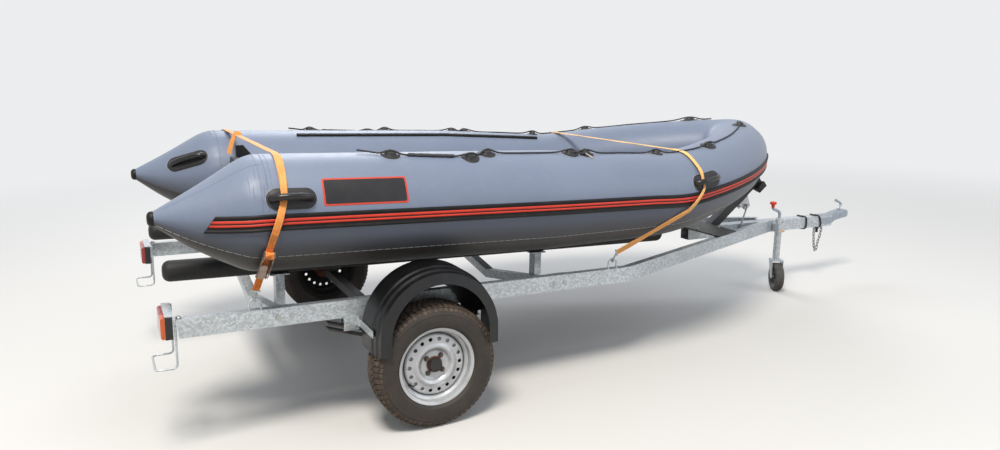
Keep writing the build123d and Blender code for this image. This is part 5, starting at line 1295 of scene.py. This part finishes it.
def squared(turn, power):
    """Point at an angle on a square with round corners, which a higher power makes tighter."""
    c, s = cos(turn), sin(turn)
    bulge = (abs(c) ** power + abs(s) ** power) ** (-1 / power)
    return c * bulge, s * bulge


rings = []
for x, half_width, low, high in coupling_sections:
    ring = []
    for k in range(32):
        u, v = squared(2 * pi * (k + 0.5) / 32, 5)
        ring.append(Vector((x, half_width * u, (low + high) / 2 + (high - low) / 2 * v)))
    rings.append(ring)
coupling = lofted("ball_coupling", rings, [bright], smooth=32)
# The socket for a 50 mm ball is sunk into the underside.
BALL_PLACE, SOCKET_RADIUS, SOCKET_DEEPER = (3.790, 0, 0.549), 0.0255, 1.25
work = bmesh.new()
bmesh.ops.create_uvsphere(work, u_segments=32, v_segments=20, radius=SOCKET_RADIUS,
                          matrix=park @ Matrix.Translation(BALL_PLACE) @ Matrix.Scale(SOCKET_DEEPER, 4, (0, 0, 1)))
ball = from_work("ball", work)
cut = coupling.modifiers.new("socket", "BOOLEAN")
cut.operation, cut.solver, cut.object = "DIFFERENCE", "EXACT", ball
bpy.context.view_layer.update()
hollowed = bpy.data.meshes.new_from_object(coupling.evaluated_get(bpy.context.evaluated_depsgraph_get()))
coupling.modifiers.clear()
coupling.data = hollowed
bpy.data.objects.remove(ball)
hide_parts("coupling_head")
lever_path = flowing([(3.745, 0, 0.592), (3.752, 0, 0.612), (3.772, 0, 0.632), (3.764, 0, 0.650), (3.725, 0, 0.668),
                      (3.712, 0, 0.672)], 0.005)
lever = lofted("coupling_grip", swept(lever_path, 0.0095, 14, taper=lambda t: 1.1 - 0.3 * t + (0.35 if t > 0.9 else 0)),
               [bright], smooth=50)
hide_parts("coupling_lever")
CRANK_Y = -0.1
crank_path = flowing([(x, CRANK_Y, z) for x, z in ((3.025, 0.590), (3.026, 0.622), (3.018, 0.643), (2.990, 0.658),
                                                   (2.965, 0.667), (2.956, 0.676), (2.955, 0.684))], 0.005)
crank = lofted("jockey_crank_bar", swept(crank_path, 0.0105, 14), [bright], smooth=50)
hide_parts("jockey_crank")
# Each ring of cable hugs the drawbar, and leans as it was pushed on.
RING_HALF, RING_Z, RING_WIRE, RING_STEPS = 0.0455, 0.529, 0.0062, 40
for n, (x, lean) in enumerate(((3.350, 0.018), (3.490, 0.026))):
    loop = []
    for k in range(RING_STEPS):
        turn = 2 * pi * k / RING_STEPS
        u, v = squared(turn, 6)
        loop.append(Vector((x + lean * abs(cos(turn)) - 0.012 * n * sin(turn), RING_HALF * u, RING_Z + RING_HALF * v)))
    ring = lofted("cable_ring_%d" % n, swept(loop + loop[:2], RING_WIRE, 12), [base_rubber], smooth=50)
    if n == 0:
        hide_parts("cable_rings")


def chain_link(name, length, width, wire):
    """One welded link with its length along Z."""
    half = length / 2 - width / 2
    line = []
    for k in range(12):
        turn = 2 * pi * k / 12
        shift = half if cos(turn) > 1e-6 else -half if cos(turn) < -1e-6 else 0
        line.append(Vector((width / 2 * sin(turn), 0, shift + width / 2 * cos(turn))))
    rings = []
    for i, p in enumerate(line):
        way = (line[(i + 1) % 12] - line[i - 1]).normalized()
        level = Vector((0, 1, 0))
        out = level.cross(way)
        rings.append([p + (level * cos(2 * pi * k / 6) + out * sin(2 * pi * k / 6)) * wire for k in range(6)])
    return shape(name, rings, closed=True)


dull_zinc = painted("dull_zinc_chain", "#83878A", "#4F4A45", 0.45, 0.6, scale=60, metallic=0.6, grit=0.2)
chain_path = flowing([(3.470, -0.030, 0.482), (3.472, -0.032, 0.420), (3.480, -0.034, 0.350), (3.493, -0.034, 0.312),
                      (3.508, -0.034, 0.318), (3.522, -0.032, 0.370), (3.542, -0.030, 0.430),
                      (3.552, -0.028, 0.483)], 0.012)
LINK_LENGTH, LINK_WIDTH, LINK_WIRE, LINK_SPACING = 0.030, 0.015, 0.0028, 0.0225
link = chain_link("link", LINK_LENGTH, LINK_WIDTH, LINK_WIRE)
chain = grown("safety_chain", path_piece("hang", chain_path), set_along,
              {"Piece": link, "Spacing": LINK_SPACING, "Quarter turns": 1.0, "Finish": dull_zinc}, smooth=60)
stub = [Vector((3.512, -0.020, z)) for z in (0.4885, 0.470, 0.466, 0.448, 0.444)]
plug = lofted("lamp_cable_plug", swept(stub, 0.012, 18, taper=lambda t: 1 if t < 0.5 else 0.82), [nylon])
TAG_PLACE, TAG_LONG, TAG_HIGH, TAG_THICK = (3.034, -0.131, 0.508), 0.017, 0.007, 0.0012
tag_outline = [(x * TAG_LONG, z * TAG_HIGH) for x, z in ((-1, -1), (1, -1), (1, 1), (-1, 1))]
points, faces = plate_points(tag_outline, -TAG_THICK, TAG_THICK, Matrix.Translation(TAG_PLACE))
tag = made_piece("screw_tag", points, faces, [webbing])

# Jockey wheel.
# A solid rubber tyre, dusty grey on the tread, on a dark moulded hub with a raised rim.
roller_tyre = painted("solid_grey_tyre", "#4B4A48", "#77726A", 0.7, 0.6, scale=40, grit=0.5)
hub_black = painted("dark_moulded_hub", "#1C1B1A", "#4A443D", 0.5, 0.4, scale=60, grit=0.2)
CASTER_TURN, ROLLER_PLACE, ROLLER_AROUND = radians(-61), (3.00318, -0.13936, 0.17848), 64
upright, roller_axis = Vector((0, 0, 1)), Vector((sin(CASTER_TURN), cos(CASTER_TURN), 0))
roller_frame = Matrix((upright.cross(roller_axis), upright, roller_axis)).transposed().to_4x4()
roller_frame.translation = ROLLER_PLACE
# Half of its section, from the bore out to the tread; the first six bands are the hub.
HUB_BANDS = 6
half_line = [(0.006, 0.0065), (0.020, 0.0065), (0.021, 0.0150), (0.012, 0.0180), (0.011, 0.0560), (0.020, 0.0600),
             (0.0215, 0.0640), (0.0240, 0.0660), (0.0285, 0.0740), (0.0300, 0.0820), (0.0290, 0.0900), (0.0255, 0.0962),
             (0.0200, 0.0990), (0.0120, 0.0998), (0.0110, 0.0980), (0.0040, 0.0980), (0.0030, 0.1000)]
roller_line = half_line + [(-a, r) for a, r in reversed(half_line)]
tyre_bands = len(roller_line) - 2 * HUB_BANDS - 1
picks = [1] * (HUB_BANDS * ROLLER_AROUND) + [0] * (tyre_bands * ROLLER_AROUND) + [1] * ((HUB_BANDS + 1) * ROLLER_AROUND)
roller = lofted("jockey_roller_tyre", turned_rings(roller_line, ROLLER_AROUND), [roller_tyre, hub_black], True,
                picks=picks, body="jockey_roller", place=park @ roller_frame)
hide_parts("jockey_wheel")

# Bolts of the frame.
# Plated hexagon bolts with thin washers, through hangers, stays, lamp brackets, clamp and the post's plate.
# They are set on marked points, each along the way that its hole faces.
def spots_tree():
    """Node tree that sets a copy of one piece on each point of a mesh, along the direction stored there."""
    tree, given = tree_for("set_on_spots", {"Spots": "Geometry", "Piece": "Object", "Scale": "Float",
                                            "Finish": "Material"})
    aim = add(tree, "GeometryNodeInputNamedAttribute", {"data_type": "FLOAT_VECTOR"}, {"Name": "aim"})
    facing = add(tree, "FunctionNodeAlignRotationToVector", {"axis": "Z"}, {"Vector": (aim, 0)})
    source = add(tree, "GeometryNodeObjectInfo", {}, {"Object": (given, "Piece")})
    copies = add(tree, "GeometryNodeInstanceOnPoints", {},
                 {"Points": (given, "Spots"), "Instance": (source, "Geometry"), "Rotation": (facing, 0),
                  "Scale": (given, "Scale")})
    return end_tree(tree, given, copies)


# Foot of each bolt and the way it points.
bolt_spots = []
for side in (-1, 1):
    outboard = (0, side, 0)
    bolt_spots += [((x, side * 0.8129, 0.462), outboard) for x in (-0.348, -0.312, 0.312, 0.348)]
    bolt_spots += [((x, side * 0.8199, 0.471), outboard) for x in (-0.345, 0.349)]
    bolt_spots += [((x, side * 0.805, 0.541), outboard) for x in (-0.650, -0.590, 0.730, 0.790)]
    bolt_spots += [((-1.043, side * y, 0.5813), (0, 0, 1)) for y in (0.790, 0.776)]
    if side > 0:
        bolt_spots += [((x, 0.0405, 0.549), outboard) for x in (3.040, 3.011)]
    bolt_spots += [((x, side * 0.16, 0.5895), (0, 0, 1)) for x in (2.215, 2.400)]
spots = linked("spots")
spots.data.from_pydata([tuple(park @ Vector(p)) for p, _ in bolt_spots], [], [])
spots.data.attributes.new("aim", "FLOAT_VECTOR", "POINT").data.foreach_set(
    "vector", [c for _, aim in bolt_spots for c in (park.to_3x3() @ Vector(aim))])
frame_bolts = grown("frame_bolts", spots, spots_tree(),
                    {"Piece": bolt("head", 0.015, 0.008), "Scale": 1.0, "Finish": zinc_plate})

# Inflatable bottom, floor, bunks and bow stop.
# A dark V bottom and a grey floor of glued cloth; long hard rollers in a black rubber sleeve, scuffed by the hull.
# Each is a copy of the construction piece with finer faces, pushed about a little along its normals.
floor_cloth = painted("grey_floor_fabric", "#5B6168", "#7A7871", 0.6, 0.5, scale=22, grit=0.3)
keel_cloth = painted("dark_bottom_fabric", "#3E3B38", "#5F584F", 0.5, 0.5, scale=20, grit=0.3)
padding = painted("black_rubber_sleeve", "#0E0E10", "#2E2C2A", 0.6, 0.4, scale=18, grit=0.35)
LUMPS_PER_METRE = 9


def softened(name, node, material, finest, lump):
    """A merged copy of one construction node, its long edges divided and its points pushed about a little."""
    work = bmesh.new()
    work.from_mesh(node.data)
    bmesh.ops.remove_doubles(work, verts=work.verts, dist=1e-5)
    long_edges = [edge for edge in work.edges if edge.calc_length() > finest]
    if long_edges:
        bmesh.ops.subdivide_edges(work, edges=long_edges, cuts=2, use_grid_fill=False)
        bmesh.ops.triangulate(work, faces=work.faces)
    work.normal_update()
    for vert in work.verts:
        vert.co += vert.normal * lump * noise.noise(vert.co * LUMPS_PER_METRE)
    bmesh.ops.recalc_face_normals(work, faces=work.faces)
    piece = from_work(name, work)
    piece.data.materials.clear()
    piece.data.materials.append(material)
    piece.data.shade_smooth()
    piece.data.set_sharp_from_angle(angle=radians(40))
    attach(piece, "boat_on_trailer")
    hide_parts(node.name)


for name, node, material, finest, lump, slot in (
        ("bottom_skin", "hull_bottom", keel_cloth, 0.12, 0.0015, "bottom_fabric"),
        ("floor_skin", "floor_deck", floor_cloth, 0.12, 0.0012, "floor_fabric"),
        ("bunk_sleeves", "bunks", padding, 0.09, 0.0012, "padding"),
        ("bow_stop_pad", "bow_stop", padding, 0.04, 0.0006, "black_rubber")):
    softened(name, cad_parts[node], material, finest, lump)
